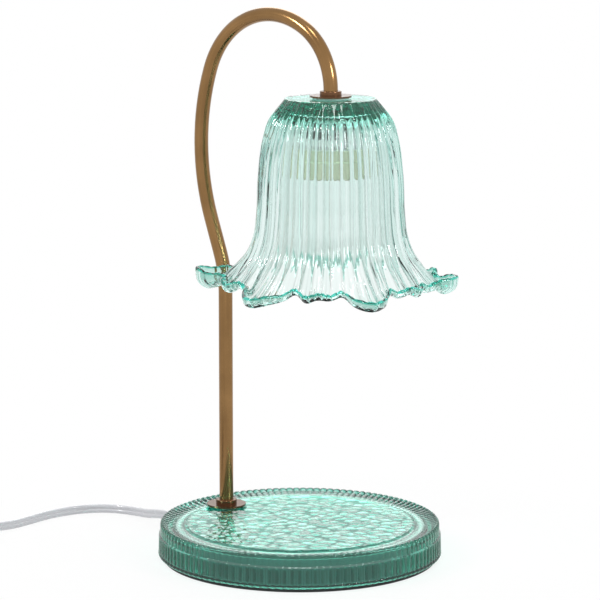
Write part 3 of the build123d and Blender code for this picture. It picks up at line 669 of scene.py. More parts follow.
@dataclass
class BellShade:
    """Fluted bell of pressed glass with a thick top and a ruffled rim; in millimetres and degrees."""

    centre_x: float = 22.677
    top: float = 261.351
    height: float = 106.0
    top_radius: float = 24.8
    top_thickness: float = 8.0
    bore_radius: float = 4.3
    ceiling_radius: float = 27.0
    bell_radius: float = 41.0
    wall: float = 3.0
    flutes: int = 56
    flute_depth: float = 1.15
    steps_round: int = 8
    petal_angles: Sequence[float] = (-30.0, 30.0, 92.0, 152.0, 215.0, 276.0)
    petal_reach: float = 16.5
    reach_shares: Tuple[float, float, float] = (0.40, 0.32, 0.28)
    petal_sizes: Sequence[float] = (1.0, 0.7, 0.6, 0.7, 0.95, 1.0)
    petal_curls: Sequence[float] = (0.2, 1.0, 0.6, 0.6, 1.0, 0.2)
    pleat_depth: float = 1.5
    trough_lift: float = -2.5
    droop: float = 0.02
    droop_angle: float = 42.0
    ripples: int = 28
    ripple_angle: float = -48.5
    ripple_height: float = 1.4
    rim_tint: float = 1.0
    # painted shade: strength and spread of the dark lines painted along the flute valleys, and along the
    # flute middles where the rim folds
    shade_line_strength: float = 0.6
    shade_line_spread: Tuple[float, float] = (0.15, 1.0)
    stain_strength: float = 0.35
    flute_spread: Tuple[float, float] = (0.7, 1.3)
    wave_height: float = 0.3
    crown_rows: float = 2.2
    ripple_cut: float = 0.6
    row_steps: int = 5
    rim_step: int = 30
    normal_reach: int = 4
    disc_rows: int = 8
    disc_inset: float = 0.8
    seed: int = 7
    bell_shares: Sequence[Tuple[float, float]] = (
        (0.717, 0.051), (0.830, 0.110), (0.905, 0.200), (0.975, 0.400), (1.000, 0.600),
        (1.040, 0.715), (1.130, 0.800), (1.270, 0.868), (1.360, 0.902),
    )
    lip_shares: Sequence[Tuple[float, float]] = ((0.40, -0.38), (0.72, -0.54), (0.95, -0.36), (1.0, 0.02))
    open_levels: Sequence[float] = (-0.30, -0.45, -0.50, -0.42)
    flute_shares: Sequence[float] = (0, 0.5, 0.9, 1, 1, 1, 1, 1, 1, 1, 0.9, 0.85, 0.8, 0.6)
    ripple_shares: Sequence[float] = (0, 0, 0, 0, 0, 0, 0, 0.2, 0.6, 1, 1, 1, 1, 1)
    pleat_shares: Sequence[float] = (0, 0, 0, 0, 0, 0, 0, 0.15, 0.6, 1, 1, 1, 1, 1)
    wall_shares: Sequence[float] = (1, 1, 1, 0.75, 0.6, 0.52, 0.5, 0.5, 0.5, 0.55, 0.65, 0.8, 0.95, 1.05)
    # painted shade: how strongly each profile row takes the painted shade lines
    shade_line_shares: Sequence[float] = (0, 0.2, 0.8, 1, 1, 1, 1, 1, 1, 1, 1, 0.9, 0.8, 0.6)
    deep_shares: Sequence[float] = (0.8, 0.8, 0.3, 0, 0, 0, 0, 0, 0, 0.05, 0.12, 0.25, 0.45, 0.7)
    stain_shares: Sequence[float] = (0, 0.2, 0.5, 0.6, 0.6, 0.6, 0.6, 0.6, 0.5, 0.3, 0.2, 0.2, 0.2, 0.2)
    fold_shares: Sequence[float] = (0, 0, 0, 0, 0, 0, 0, 0.1, 0.4, 0.7, 1, 1, 1, 1)

    def profiles(self, angles: np.ndarray) -> np.ndarray:
        """Works out the bell's outer profiles.

        Args:
            angles: Angles round the axis in degrees.

        Returns:
            Radius and level by profile point and angle.
        """
        middles = np.append(self.petal_angles, self.petal_angles[0] + 360.0)
        spots = (angles - middles[0]) % 360.0 + middles[0]
        turn = 2 * math.pi * np.interp(spots, middles, np.arange(len(middles)))
        mean, large, small = self.reach_shares
        petal = large * np.cos(turn) + small * np.cos(2 * turn)
        size = np.interp(spots, middles, np.append(self.petal_sizes, self.petal_sizes[0]))
        reach = self.petal_reach * (mean + petal) * size
        ripple = self.ripple_height * np.cos(np.radians(self.ripples * (angles - self.ripple_angle)))
        ripple = ripple * np.clip(self.ripple_cut - petal, 0, 1)
        flat = np.ones_like(angles)
        rows = [(self.top_radius * flat, self.top * flat)]
        bell = [(self.bell_radius * r, self.top - self.height * d) for r, d in self.bell_shares]
        rows += [(r * flat, z * flat) for r, z in bell]
        foot_radius, foot_level = rows[-1]
        curl = np.interp(spots, middles, np.append(self.petal_curls, self.petal_curls[0]))
        rows += [
            (foot_radius + reach * r, foot_level + reach * (z * curl + level * (1 - curl)))
            for (r, z), level in zip(self.lip_shares, self.open_levels)
        ]
        side = np.clip(np.cos(np.radians(angles - self.droop_angle)), 0, 1)
        lift = self.trough_lift * (1 - mean - petal)
        rows = [
            (
                r + pleat * self.pleat_depth * petal,
                z - share * ripple + pleat * (lift - self.droop * r * side),
            )
            for (r, z), share, pleat in zip(rows, self.ripple_shares, self.pleat_shares)
        ]
        return np.array(rows).transpose(0, 2, 1)

    def outward(self, profile: np.ndarray) -> np.ndarray:
        """Finds the directions in which the bell's wall is thick.

        Args:
            profile: Radius and level by row and angle.

        Returns:
            Outward unit normals, evened out over the rows near each.
        """
        normals, reach = Maker.normals(profile), self.normal_reach
        spans = [normals[max(0, i - reach) : i + reach + 1].mean(0) for i in range(len(normals))]
        return Maker.unit(np.array(spans))

    @staticmethod
    def column(shares: Sequence[float], rows: int) -> np.ndarray:
        """Shares of the profile's points as a column over finer rows."""
        return np.interp(np.linspace(0, len(shares) - 1, rows), np.arange(len(shares)), shares)[:, None]

    def build(self, glass: bpy.types.Material) -> bpy.types.Object:
        """Lofts outside, rim, inside, ceiling and bore as one closed skin.

        Args:
            glass: Material of the shade.

        Returns:
            The shade.
        """
        count = self.flutes * self.steps_round
        dice = np.random.default_rng(self.seed)
        widths = dice.uniform(*self.flute_spread, self.flutes)
        edges = np.concatenate([[0.0], np.cumsum(widths / widths.sum())])
        spots = np.interp(np.arange(count) / self.steps_round, np.arange(self.flutes + 1), edges)
        angles = self.ripple_angle + 360.0 * spots
        place = Maker.across(count, self.steps_round)
        strength = np.repeat(dice.uniform(*self.flute_spread, self.flutes), self.steps_round)
        valley = place**2 * strength
        fold = (2 * np.abs(place) - 1) ** 2 * strength
        outer = Maker.smooth_rows(self.profiles(angles), self.row_steps)
        normals, rows = self.outward(outer), len(outer)
        flute = self.column(self.flute_shares, rows)[..., None] * self.flute_depth
        walls = self.column(self.wall_shares, rows)[..., None] * self.wall
        waves = dice.uniform(-self.wave_height, self.wave_height, 2 * self.flutes + 1)
        waves[-1] = waves[0]
        ripple = np.interp(np.arange(count) * 2 / self.steps_round, np.arange(len(waves)), waves)
        ripple = ripple[None, :, None]
        fine = np.linspace(0, len(self.flute_shares) - 1, rows)[:, None, None]
        crown = np.clip(self.crown_rows - fine, 0, 1) * np.roll(ripple, self.steps_round, 1)
        folded = self.column(self.fold_shares, rows)
        outside = outer - normals * (flute * (valley + folded * (fold - valley))[..., None] + crown)
        inside = outer - normals * (walls + ripple)
        middle = (outside[-1] + inside[-1]) / 2
        half = (outside[-1] - inside[-1]) / 2
        ahead = np.stack([normals[-1][..., 1], -normals[-1][..., 0]], -1)
        size = np.linalg.norm(half, axis=-1, keepdims=True)
        turns = np.radians(np.arange(self.rim_step, 180, self.rim_step))
        rim = [middle + half * math.cos(t) + ahead * size * math.sin(t) for t in turns]
        under = self.top - self.top_thickness
        ceiling_radii = np.linspace(self.ceiling_radius, self.bore_radius, self.disc_rows)
        top_radii = np.linspace(self.bore_radius, self.top_radius - self.disc_inset, self.disc_rows)
        ceiling = Maker.level_rows([(r, under) for r in ceiling_radii], count)
        top = Maker.level_rows([(r, self.top) for r in top_radii], count)
        inside = inside[: 2 * self.row_steps - 1 : -1]
        profile = np.concatenate([top, outside, np.array(rim), inside, ceiling])
        rings = Maker.round_rings(profile, np.radians(angles), self.centre_x) * MM
        shade = Maker.skin("shade_bell", rings, wrap=True)
        # painted shade: dark lines along the flute valleys and, where the rim folds, along the flute middles
        depth = np.repeat(dice.uniform(*self.shade_line_spread, self.flutes), self.steps_round) * self.shade_line_strength
        notch = np.clip(3 * np.abs(place) - 2, 0, 1) + folded * np.clip(1 - 4 * np.abs(place), 0, 1)
        stain = np.repeat(dice.uniform(0, 1, self.flutes), self.steps_round) * self.stain_strength
        skin = slice(len(top), len(top) + rows)
        lines, deep = np.zeros(profile.shape[:2]), np.zeros(profile.shape[:2])
        lines[skin] = self.column(self.shade_line_shares, rows) * notch * depth
        deep[skin] = self.column(self.deep_shares, rows) + self.column(self.stain_shares, rows) * stain
        deep[skin.stop : skin.stop + len(rim)] = self.rim_tint
        Maker.section_map(shade, lines, deep)
        return dress(shade, glass, Slot.GLASS, "shade_glass")


@dataclass
class BaseDish:
    """Ribbed two-tier dish with a beaded crest and a pebbled plate; lengths in millimetres."""

    rib_count: int = 120
    steps_round: int = 8
    rib_bow: float = 0.94
    # painted shade: per-rib strength of the dark lines painted along the rib valleys and middles, and of the
    # darkening painted over the lower tier
    rib_spread: Tuple[float, float] = (0.3, 1.0)
    rib_shade_spread: Tuple[float, float] = (0.4, 1.0)
    bottom: float = 2.2
    bottom_radius: float = 77.0
    hub: float = 1.0
    plate: float = 20.0
    plate_radius: float = 64.0
    plate_margin: float = 0.4
    plate_steps: int = 100
    edge: Sequence[Tuple[float, float]] = ((63.7, 19.9), (64.2, 19.6), (65.0, 19.1), (66.0, 18.8))
    cavity_radius: float = 72.0
    cavity_foot: float = 3.0
    ceiling: float = 17.4
    corner: Tuple[float, float] = (0.4, 0.1)
    roof_margin: float = 3.0
    roof_steps: int = 8
    pebble_size: float = 6.5
    pebble_depth: float = 0.6
    pebble_pitch: float = 0.866
    pebble_shift: float = 0.33
    pebble_spread: Tuple[float, float] = (0.8, 1.15)
    pebble_fill: float = 0.56
    pebble_fade: float = 2.0
    pole_x: float = -57.0
    bore_radius: float = 4.3
    bore_level: float = 17.0
    notch_x: float = -76.0
    notch_radius: float = 4.6
    notch_level: float = 6.2
    hole_length: float = 14.0
    hole_sides: int = 48
    seed: int = 11
    plate_tint: float = 0.7
    # painted shade: the pebbles' furrows are painted darker and greener the deeper they are
    furrow_shade_tint: float = 0.5
    wall_tint: float = 0.9
    furrow_shade_line: float = 0.15
    frosted: float = -1.0
    side: Sequence[Tuple[float, float, float]] = (
        (67.5, 18.7, 0.2), (69.0, 18.8, 0.4), (72.0, 19.4, 0.8), (75.0, 20.2, 0.9), (76.3, 20.6, 0.9),
        (76.9, 20.95, 0.8), (77.4, 21.1, 0.75), (77.8, 21.0, 0.75), (78.15, 20.75, 0.75), (78.5, 20.3, 0.75),
        (78.7, 19.9, 0.7), (78.8, 19.4, 0.65), (78.82, 18.6, 0.5), (78.82, 16.5, 0.5), (78.82, 15.0, 0.5),
        (78.9, 14.55, 0.2), (79.0, 14.45, 0.15), (79.5, 13.98, 0.15), (79.62, 13.85, 0.2), (79.7, 13.5, 0.8),
        (79.7, 12.4, 1.2), (79.72, 10.0, 1.2), (79.8, 7.0, 1.2), (79.85, 5.4, 1.2), (79.5, 4.9, 0.6),
        (79.45, 4.5, 0.5), (79.85, 4.1, 0.9), (80.0, 3.5, 1.0), (79.9, 2.9, 0.9), (79.5, 2.45, 0.6),
        (79.1, 2.2, 0.3),
    )
    # painted shade: how strongly each side row takes the painted shade lines
    shade_line_shares: Sequence[float] = (
        0, 0.2, 0.4, 0.5, 0.5, 0.5, 0.5, 0.3, 0.3, 0.3, 0.5, 0.5, 0.3, 0.3, 0.3, 0, 0, 0, 0, 0.7, 1, 1, 1, 1,
        0.6, 0.4, 0.5, 0.5, 0.4, 0.2, 0,
    )
    deep_shares: Sequence[float] = (
        0.9, 0.6, 0.3, 0.15, 0.1, 0.1, 0.2, 0.4, 0.7, 0.9, 1, 1, 1, 1, 1, 0.6, 0.2, 0.2, 0.4, 1, 1, 1, 1, 1,
        1, 1, 0.9, 0.9, 0.9, 0.9, 0.9,
    )
    # painted shade: rows of the lower tier that are painted darker all over each rib
    rib_shade_shares: Sequence[float] = (*[0.0] * 19, 0.3, 0.65, 0.65, 0.65, 0.65, 0.3, *[0.0] * 6)

    def pebbles(self, x: np.ndarray, y: np.ndarray) -> np.ndarray:
        """Presses rounded pebbles with furrows between them into the plate.

        Args:
            x: First place of each point on the plate.
            y: Its second place.

        Returns:
            Depth of each point below the plate's level.
        """
        dice = np.random.default_rng(self.seed)
        pitch = self.pebble_size * self.pebble_pitch
        seeds = []
        for i in range(int(2 * self.plate_radius / pitch) + 2):
            for j in range(int(2 * self.plate_radius / self.pebble_size) + 2):
                spot = np.array([(j + 0.5 * (i % 2)) * self.pebble_size, i * pitch])
                shift = dice.uniform(-self.pebble_shift, self.pebble_shift, 2)
                seeds.append(spot - self.plate_radius + shift * self.pebble_size)
        seeds = np.array(seeds)
        size = dice.uniform(*self.pebble_spread, len(seeds))
        depth = np.empty_like(x)
        for row, (row_x, row_y) in enumerate(zip(x, y)):
            span = np.hypot(row_x[:, None] - seeds[None, :, 0], row_y[:, None] - seeds[None, :, 1])
            near = np.argmin(span, 1)
            share = span[np.arange(len(near)), near] / (self.pebble_fill * size[near] * self.pebble_size)
            depth[row] = np.minimum(share**2, 1.0) * self.pebble_depth
        return depth

    def build(self, glass: bpy.types.Material) -> bpy.types.Object:
        """Lofts the plate, crest, ribbed side and cavity as one closed skin, then cuts the bore and notch.

        Args:
            glass: Material of the dish.

        Returns:
            The dish.
        """
        count = self.rib_count * self.steps_round
        angles = Maker.circle(count)
        place = Maker.across(count, self.steps_round)
        valley = (1 - np.sqrt(1 - self.rib_bow * place**2)) / (1 - math.sqrt(1 - self.rib_bow))
        radii = np.linspace(self.hub, self.plate_radius - self.plate_margin, self.plate_steps)[:, None]
        x, y = radii * np.cos(angles), radii * np.sin(angles)
        fade = np.clip((self.plate_radius - radii) / self.pebble_fade, 0, 1)
        level = self.plate - self.pebbles(x, y) * fade
        plate = np.stack([np.broadcast_to(radii, x.shape), level], -1)
        edge = Maker.level_rows(self.edge, count)
        table = np.array(self.side)
        reach = Maker.normals(table[:, :2]) * table[:, 2:]
        side = table[:, None, :2] - reach[:, None, :] * valley[None, :, None]
        wall, roof = self.cavity_radius, self.ceiling
        wide, narrow = self.corner
        inner = [
            (self.bottom_radius, self.bottom), (wall, self.bottom), (wall, self.cavity_foot),
            (wall, roof - wide), (wall, roof - narrow), (wall - narrow, roof), (wall - wide, roof),
        ]
        inner += [(r, roof) for r in np.linspace(wall - self.roof_margin, self.hub, self.roof_steps)]
        profile = np.concatenate([plate, edge, side, Maker.level_rows(inner, count)])
        dish = Maker.skin("base_dish", Maker.round_rings(profile, angles) * MM, ends=(True, True))
        dice = np.random.default_rng(self.seed)
        # painted shade: dark lines along the rib valleys and middles, and a lower tier painted darker
        depth = np.repeat(dice.uniform(*self.rib_spread, self.rib_count), self.steps_round)
        notch = np.clip(2 * np.abs(place) - 0.7, 0, 1) * depth + 0.5 * np.clip(1 - 4 * np.abs(place), 0, 1)
        uneven = np.repeat(dice.uniform(*self.rib_shade_spread, self.rib_count), self.steps_round)
        rib_shade = np.clip(notch + np.array(self.rib_shade_shares)[:, None] * uneven, 0, 1)
        # painted shade: darkening that follows the depth of the furrows between the pebbles
        furrow_shade = ((self.plate - level) / self.pebble_depth) ** 3
        first = len(plate) + len(edge)
        ribs = slice(first, first + len(side))
        lines, deep = np.zeros(profile.shape[:2]), np.zeros(profile.shape[:2])
        lines[: len(plate)] = self.furrow_shade_line * furrow_shade
        lines[ribs] = np.array(self.shade_line_shares)[:, None] * rib_shade * self.wall_tint
        lines[-self.roof_steps :] = self.frosted
        deep[: len(plate)] = self.plate_tint + self.furrow_shade_tint * furrow_shade
        deep[len(plate) : first] = self.wall_tint
        deep[ribs] = np.array(self.deep_shares)[:, None] * self.wall_tint
        Maker.section_map(dish, lines, deep)
        self.cut(dish, "pole_bore", self.bore_radius, (self.pole_x, 0, self.bore_level), (0, 0, 0))
        notch_spot = (self.notch_x, 0, self.notch_level)
        self.cut(dish, "cord_notch", self.notch_radius, notch_spot, (0, math.pi / 2, 0))
        return dress(dish, glass, Slot.GLASS, "base_glass")

    def cut(self, dish: bpy.types.Object, name: str, radius: float, middle: Point, turn: Point) -> None:
        """Cuts a round hole through the dish.

        Args:
            dish: Piece to cut.
            name: Name of the hole.
            radius: Its radius in millimetres.
            middle: Middle of its axis in millimetres.
            turn: Euler angles that turn the axis from upright.
        """
        ring = Maker.circle(self.hole_sides)
        spin = np.array(Euler(turn).to_matrix())
        rings = []
        for share in (-0.5, 0.5):
            level = np.full(self.hole_sides, share * self.hole_length)
            row = np.stack([radius * np.cos(ring), radius * np.sin(ring), level], -1)
            rings.append((row @ spin.T + np.array(middle)) * MM)
        cutter = Maker.skin(name, np.array(rings), ends=(True, True))
        change = dish.modifiers.new(name, "BOOLEAN")
        change.operation = "DIFFERENCE"
        change.solver = "EXACT"
        change.object = cutter
        bpy.context.view_layer.update()
        view = bpy.context.evaluated_depsgraph_get()
        mesh = bpy.data.meshes.new_from_object(dish.evaluated_get(view))
        dish.modifiers.clear()
        dish.data = mesh
        bpy.data.objects.remove(cutter)


@dataclass
class BentArm:
    """Brass tube: upright pole, lean, arch and drop; lengths in millimetres."""

    pole_x: float = -57.0
    foot: float = 6.7
    pole_top: float = 144.5
    radius: float = 4.0
    bore: float = 3.0
    lean_run: float = 20.0
    drop: float = 25.7
    sides: int = 40
    pole_steps: int = 30
    run_steps: int = 6
    bend_step: float = 2.5
    bends: Sequence[Tuple[float, float]] = ((68.0, 20.0), (125.0, -40.0), (50.0, -98.0), (38.0, -62.0))

    @staticmethod
    def way(heading: float) -> np.ndarray:
        """Unit vector of a heading in degrees."""
        return np.array([math.cos(math.radians(heading)), math.sin(math.radians(heading))])

    def line(self) -> Tuple[np.ndarray, np.ndarray]:
        """Works out the tube's middle line in the upright plane.

        Returns:
            Points of the line, and the headings there in radians.
        """
        spots = [np.array([self.pole_x, z]) for z in np.linspace(self.foot, self.pole_top, self.pole_steps)]
        heads = [90.0] * len(spots)
        for i, (radius, angle) in enumerate(self.bends):
            steps = max(self.run_steps, int(abs(angle) / self.bend_step))
            turn = angle / steps
            chord = 2 * radius * math.sin(math.radians(abs(turn)) / 2)
            for _ in range(steps):
                spots.append(spots[-1] + chord * self.way(heads[-1] + turn / 2))
                heads.append(heads[-1] + turn)
            run = {0: self.lean_run, len(self.bends) - 1: self.drop}.get(i, 0.0)
            for _ in range(self.run_steps if run else 0):
                spots.append(spots[-1] + run / self.run_steps * self.way(heads[-1]))
                heads.append(heads[-1])
        return np.array(spots), np.radians(heads)

    def build(self, brass: bpy.types.Material) -> bpy.types.Object:
        """Sweeps the tube's outside and bore along the line.

        Args:
            brass: Material of the tube.

        Returns:
            The tube.
        """
        spots, heads = self.line()
        around = Maker.circle(self.sides)
        across = np.sin(around)[:, None] * np.array([0.0, 1.0, 0.0])
        rings = []
        for radius, order in ((self.radius, 1), (self.bore, -1)):
            for spot, head in list(zip(spots, heads))[::order]:
                side = np.array([math.sin(head), 0.0, -math.cos(head)])
                row = radius * (np.cos(around)[:, None] * side + across)
                rings.append(row + np.array([spot[0], 0.0, spot[1]]))
        tube = Maker.skin("arm_bend", np.array(rings) * MM, wrap=True)
        lengths = Maker.lengths(spots) * MM
        along = np.concatenate([lengths, lengths[::-1]])
        Maker.section_map(tube, np.tile(np.cos(around) * self.radius * MM, (len(along), 1)), along)
        return dress(tube, brass, Slot.BRASS, "arm_tube")


@dataclass
class TwinFlex:
    """Flat twin flex: the lead to the dimmer, and the put-away rest; lengths in millimetres."""

    width: float = 5.5
    height: float = 2.9
    half_points: int = 12
    lead: Sequence[Point] = (
        (-100.8, 0.0, 6.2), (-110.5, 0.0, 6.2), (-123.0, 1.9, 3.6), (-137.5, 3.7, 2.75),
        (-151.5, -0.6, 2.75), (-161.8, -11.0, 2.75), (-167.0, -25.0, 2.75), (-168.0, -39.5, 2.75),
        (-166.6, -53.5, 2.75), (-165.9, -67.0, 2.75), (-166.1, -79.5, 3.8), (-166.5, -91.5, 5.5),
        (-166.5, -103.0, 5.5),
    )
    coil_centre: Tuple[float, float] = (-127.731, -198.5)
    coil_outer: float = 38.769
    coil_pitch: float = 6.1
    turns_per_layer: float = 2.875
    layer_levels: Tuple[float, float] = (3.95, 10.05)
    points_per_turn: int = 16
    link: Sequence[Point] = ((-166.5, -165.0, 5.5), (-166.5, -174.0, 5.5), (-166.6, -184.0, 4.0))
    tail: Sequence[Point] = ((-113.2, -237.4, 10.0), (-101.2, -237.4, 8.0), (-92.2, -237.4, 8.0))

    def coil(self) -> List[Point]:
        """Winds the coil: in on the lower layer, up at the middle, out on the upper.

        Returns:
            Points of its turns.
        """
        low, high = self.layer_levels
        inner = self.coil_outer - self.coil_pitch * self.turns_per_layer
        total = 2 * self.turns_per_layer + 0.5
        points = []
        for i in range(int(total * self.points_per_turn) + 1):
            turn = i / self.points_per_turn
            climb = 2 * (turn - self.turns_per_layer)
            if climb <= 0:
                radius, level = self.coil_outer - self.coil_pitch * turn, low
            elif climb < 1:
                radius = inner - self.coil_pitch * (climb - climb**2) / 2
                level = low + (high - low) * (1 - math.cos(math.pi * climb)) / 2
            else:
                radius, level = inner + self.coil_pitch * (climb - 1) / 2, high
            angle = math.pi + 2 * math.pi * turn
            x, y = self.coil_centre
            points.append((x + radius * math.cos(angle), y + radius * math.sin(angle), level))
        return points

    @staticmethod
    def settle(route: Sequence[Point]) -> np.ndarray:
        """Lays a smooth line by a route's points.

        Args:
            route: Points in millimetres that control the line.

        Returns:
            Points of the line in metres.
        """
        curve = bpy.data.curves.new("route", "CURVE")
        curve.dimensions = "3D"
        curve.resolution_u = 6
        spline = curve.splines.new("NURBS")
        spline.points.add(len(route) - 1)
        for point, spot in zip(spline.points, route):
            point.co = (*(c * MM for c in spot), 1.0)
        spline.order_u = 3
        spline.use_endpoint_u = True
        holder = bpy.data.objects.new("route", curve)
        bpy.context.scene.collection.objects.link(holder)
        bpy.context.view_layer.update()
        view = bpy.context.evaluated_depsgraph_get()
        mesh = bpy.data.meshes.new_from_object(holder.evaluated_get(view))
        points = np.array([v.co for v in mesh.vertices], float)
        bpy.data.objects.remove(holder)
        bpy.data.curves.remove(curve)
        bpy.data.meshes.remove(mesh)
        return points

    def section(self) -> Tuple[np.ndarray, np.ndarray]:
        """Draws the two joined halves.

        Returns:
            Their outline, and how much of the wire shows at each point.
        """
        half = self.height / 2
        offset = self.width / 2 - half
        reach = math.acos(-offset / half)
        turns = np.linspace(-reach, reach, self.half_points + 1)[1:]
        right = np.stack([offset + half * np.cos(turns), half * np.sin(turns)], -1)
        outline = np.concatenate([right, -right])
        wire = np.clip(1.25 * np.abs(np.sin(np.concatenate([turns, turns]))) - 0.25, 0, 1)
        return outline, wire

    def sweep(
        self, name: str, route: Sequence[Point], vinyl: bpy.types.Material, *nodes: str
    ) -> Tuple[bpy.types.Object, np.ndarray]:
        """Sweeps the flex along a route's smooth line, on its edge as such flex lies in bends.

        Args:
            name: Name of the piece.
            route: The route's points in millimetres.
            vinyl: Material of the flex.
            nodes: CAD nodes that it replaces.

        Returns:
            The flex and the line that it follows.
        """
        line = self.settle(route)
        outline, wire = self.section()
        heading = Maker.unit(np.gradient(line, axis=0))
        side = Maker.unit(np.cross(heading, np.array([0.0, 0.0, 1.0])))
        up = np.cross(side, heading)
        rings = line[:, None, :] + MM * (
            outline[None, :, 0, None] * up[:, None, :] + outline[None, :, 1, None] * side[:, None, :]
        )
        flex = Maker.skin(name, rings, ends=(True, True))
        Maker.section_map(flex, np.tile(wire, (len(line), 1)), Maker.lengths(line))
        return dress(flex, vinyl, Slot.FLEX, *nodes), line

    def build(self, vinyl: bpy.types.Material) -> None:
        """Args:
            vinyl: Material of the flex.
        """
        lead, line = self.sweep("flex_lead", self.lead, vinyl, "cord_lead")
        route = [*self.link, *self.coil(), *self.tail]
        rest, line = self.sweep("flex_rest", route, vinyl, "cord_link", "cord_coil", "cord_tail")
        LOG.info("put-away flex is %.3f m long", Maker.lengths(line)[-1])


@dataclass
class Fittings:
    """CAD nodes whose shape stays: each gets its finish and a small edge."""

    finishes: Sequence[Tuple[Finish, Sequence[str]]]
    edge: float = 0.15 * MM
    edge_angle: float = 40.0

    def build(self) -> None:
        """Dresses the nodes group by group."""
        for finish, names in self.finishes:
            material = finish.material()
            for name in names:
                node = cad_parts[name]
                node.data.materials.clear()
                node.data.materials.append(material)
                bevel = node.modifiers.new("edge", "BEVEL")
                bevel.width = self.edge
                bevel.segments = 2
                bevel.limit_method = "ANGLE"
                bevel.angle_limit = math.radians(self.edge_angle)
            LOG.info("%s on %s", finish.name, ", ".join(names))


@dataclass
class Studio:
    """Camera of the photograph, pale floor, soft lamps and a plain surround."""

    lens: float = 177.0
    spot: Point = (1.0840, -1.2046, 0.4290)
    pitch: float = 9.872
    azimuth: float = 41.98
    aim: Point = (0.0, 0.0, 0.15)
    floor_radii: Sequence[float] = (0.3, 1.0, 8.0)
    floor_sides: int = 96
    floor_level: float = -0.0003
    floor_paint: Colour = (0.9, 0.9, 0.9)
    shadow_reach: Tuple[float, float] = (0.09, 0.22)
    shadow_share: float = 0.2
    white: Colour = (1.0, 1.0, 1.0)
    grey: Colour = (0.5, 0.5, 0.5)
    lamps: Sequence[Tuple[str, Point, float, float]] = (
        ("key_lamp", (-0.55, -1.25, 1.15), 0.35, 11.0),
        ("fill_lamp", (1.45, 0.15, 0.8), 0.35, 7.0),
        ("back_lamp", (-0.9, 1.1, 1.0), 1.0, 6.0),
        ("top_lamp", (0.27, -0.30, 1.5), 0.3, 3.0),
    )

    def camera(self) -> None:
        """Adds the camera that was fitted to the photograph."""
        data = bpy.data.cameras.new("camera")
        data.lens = self.lens
        data.sensor_width = 36.0
        data.clip_end = 50.0
        made = bpy.data.objects.new("camera", data)
        made.location = self.spot
        made.rotation_euler = (math.radians(90 - self.pitch), 0.0, math.radians(self.azimuth))
        bpy.context.scene.collection.objects.link(made)
        bpy.context.scene.camera = made

    @staticmethod
    def rays(tree: ShaderTree) -> Value:
        """Tells rays that see the background from those that light the object.

        Args:
            tree: Nodes of the floor or world.

        Returns:
            One for rays from the eye, mirrored ones and ones bent by glass.
        """
        kinds = ("Camera", "Glossy", "Transmission")
        eye, glossy, bent = (tree.node("ShaderNodeLightPath", out=f"Is {kind} Ray") for kind in kinds)
        return eye + glossy * (1.0 - bent) + bent

    def floor(self) -> None:
        """Adds a white floor that keeps the shadow close to the lamp."""
        ring = Maker.circle(self.floor_sides)
        level = np.full(self.floor_sides, self.floor_level)
        rings = [np.stack([r * np.cos(ring), r * np.sin(ring), level], -1) for r in self.floor_radii]
        floor = Maker.skin("floor", np.array(rings), ends=(True, False))
        material = bpy.data.materials.new("white_floor")
        tree = ShaderTree(material, "ShaderNodeOutputMaterial")
        place = tree.node("ShaderNodeNewGeometry", out="Position")
        away = tree.node("ShaderNodeVectorMath", {"operation": "LENGTH"}, {"Vector": place}, "Value")
        near, far = self.shadow_reach
        clear = tree.node(
            "ShaderNodeMapRange", {"clamp": True}, {"Value": away, "From Min": near, "From Max": far}
        )
        paint = tree.node("ShaderNodeBsdfDiffuse", {}, {"Color": self.floor_paint})
        light = tree.node("ShaderNodeEmission", {}, {"Color": self.white, "Strength": 1.0})
        shown = self.rays(tree) * (1.0 - self.shadow_share + self.shadow_share * clear)
        tree.close(
            tree.node("ShaderNodeMixShader", {}, {"Fac": shown, "Shader": paint, "Shader_001": light})
        )
        floor.data.materials.append(material)

    def surround(self) -> None:
        """Makes the world: white to the eye, to metal and to glass, and a plain grey light."""
        world = bpy.data.worlds.new("studio")
        bpy.context.scene.world = world
        tree = ShaderTree(world, "ShaderNodeOutputWorld")
        seen = tree.mix(self.rays(tree), self.grey, self.white)
        tree.close(tree.node("ShaderNodeBackground", {}, {"Color": seen, "Strength": 1.0}))

    def lamp(self, name: str, spot: Point, size: float, power: float) -> None:
        """Adds a soft square lamp that faces the object.

        Args:
            name: Name of the lamp.
            spot: Its place in metres.
            size: Its side in metres.
            power: Its power in watts.
        """
        data = bpy.data.lights.new(name, "AREA")
        data.size = size
        data.energy = power
        made = bpy.data.objects.new(name, data)
        made.location = spot
        way = Vector(self.aim) - Vector(spot)
        made.rotation_euler = way.to_track_quat("-Z", "Y").to_euler()
        bpy.context.scene.collection.objects.link(made)

    def build(self) -> None:
        """Sets up the whole studio."""
        self.camera()
        self.floor()
        self.surround()
        for lamp in self.lamps:
            self.lamp(*lamp)
        bpy.context.scene.view_settings.view_transform = "Standard"


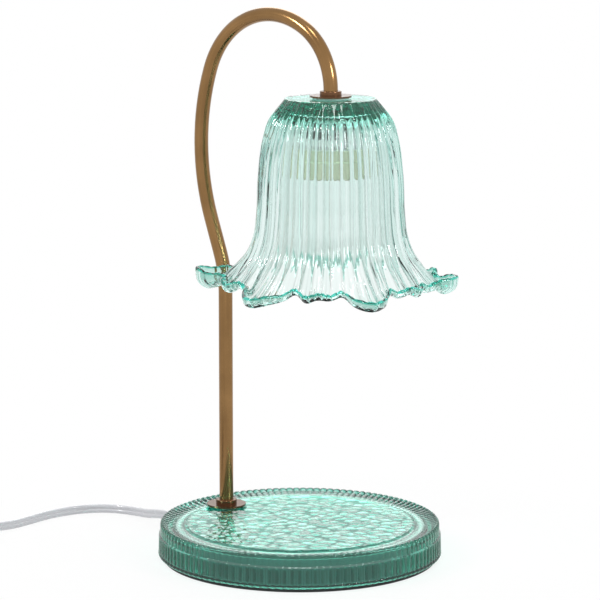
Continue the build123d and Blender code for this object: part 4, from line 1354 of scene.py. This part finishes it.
FITTINGS: Sequence[Tuple[Finish, Sequence[str]]] = (
    (
        RubbedAndReflectionMetal("rose_copper", (0.20, 0.105, 0.055), (0.10, 0.05, 0.026), grain=(400.0, 400.0, 60.0)),
        ("base_washer", "base_collar", "shade_collar", "shade_flange"),
    ),
    (
        RubbedAndReflectionMetal("zinc_plate", (0.74, 0.75, 0.76), (0.55, 0.56, 0.58), grain=(500.0, 500.0, 80.0)),
        ("holder_bracket", "base_inner_washer", "shade_washer", "holder_screws", "dimmer_screws"),
    ),
    (
        RubbedAndReflectionMetal("dark_nut", (0.16, 0.15, 0.13), (0.07, 0.065, 0.06), grain=(300.0, 300.0, 90.0)),
        ("base_nut", "shade_nut", "bracket_nut"),
    ),
    (
        RubbedAndReflectionMetal("contact_brass", (0.84, 0.66, 0.34), (0.62, 0.46, 0.21), grain=(90.0, 500.0, 500.0)),
        ("holder_contacts", "plug_blades", "dimmer_spindle"),
    ),
    (
        # painted shade: the ceramic's own cream is darkened to the grey olive that it shows in the shade of
        # the bell
        Moulded("cream_ceramic", (0.47, 0.45, 0.33), (0.40, 0.38, 0.27), rough=(0.18, 0.3), coat=0.5),
        ("lampholder",),
    ),
    (
        Moulded("gasket_rubber", (0.80, 0.84, 0.82), (0.70, 0.76, 0.73), rough=(0.4, 0.6)),
        ("base_gasket", "base_inner_gasket", "shade_upper_gasket", "shade_lower_gasket"),
    ),
    (FootFoam("foot_foam"), ("foot_pad",)),
    (
        Moulded("clear_moulding", (0.70, 0.71, 0.72), (0.58, 0.59, 0.60), rough=(0.2, 0.35), coat=0.4),
        ("cord_gland", "plug_body"),
    ),
    (
        Moulded("lead_skin", (0.88, 0.88, 0.85), (0.78, 0.78, 0.75), rough=(0.35, 0.5)),
        ("arm_leads", "supply_leads"),
    ),
    (
        Moulded("dimmer_shell", (0.88, 0.88, 0.86), (0.82, 0.82, 0.80), rough=(0.3, 0.42)),
        ("dimmer_base", "dimmer_cover", "wire_connector"),
    ),
    (
        Moulded("black_moulding", (0.055, 0.055, 0.058), (0.03, 0.03, 0.032), rough=(0.4, 0.6)),
        ("dimmer_wheel", "dimmer_potentiometer", "coil_tie"),
    ),
    (
        Moulded("circuit_board", (0.06, 0.30, 0.15), (0.03, 0.19, 0.09), rough=(0.3, 0.5)),
        ("dimmer_board",),
    ),
)


def main() -> None:
    """Builds the pieces in order and reports each one."""
    logging.basicConfig(level=logging.INFO, format="%(name)s: %(message)s")
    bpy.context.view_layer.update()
    Studio().build()
    TwinFlex().build(ClearVinyl("twin_flex").material())
    BellShade().build(PressedGlass("shade_glass_finish").material())
    base_glass = PressedGlass(
        "base_glass_finish", density=42.0, line=(0.001, 0.06, 0.042), deep=(0.001, 0.50, 0.34)
    )
    BaseDish().build(base_glass.material())
    # painted reflection: the brass's light and very dark streaks along the tube stand in for the room that it
    # mirrors
    brass = RubbedAndReflectionMetal(
        "antique_brass", light=(0.42, 0.24, 0.10), dark=(0.07, 0.036, 0.013), rough=(0.13, 0.22),
        grain=(420.0, 5.0, 1.0), source="UV",
    )
    BentArm().build(brass.material())
    Fittings(FITTINGS).build()


if __name__ == "__main__":
    main()
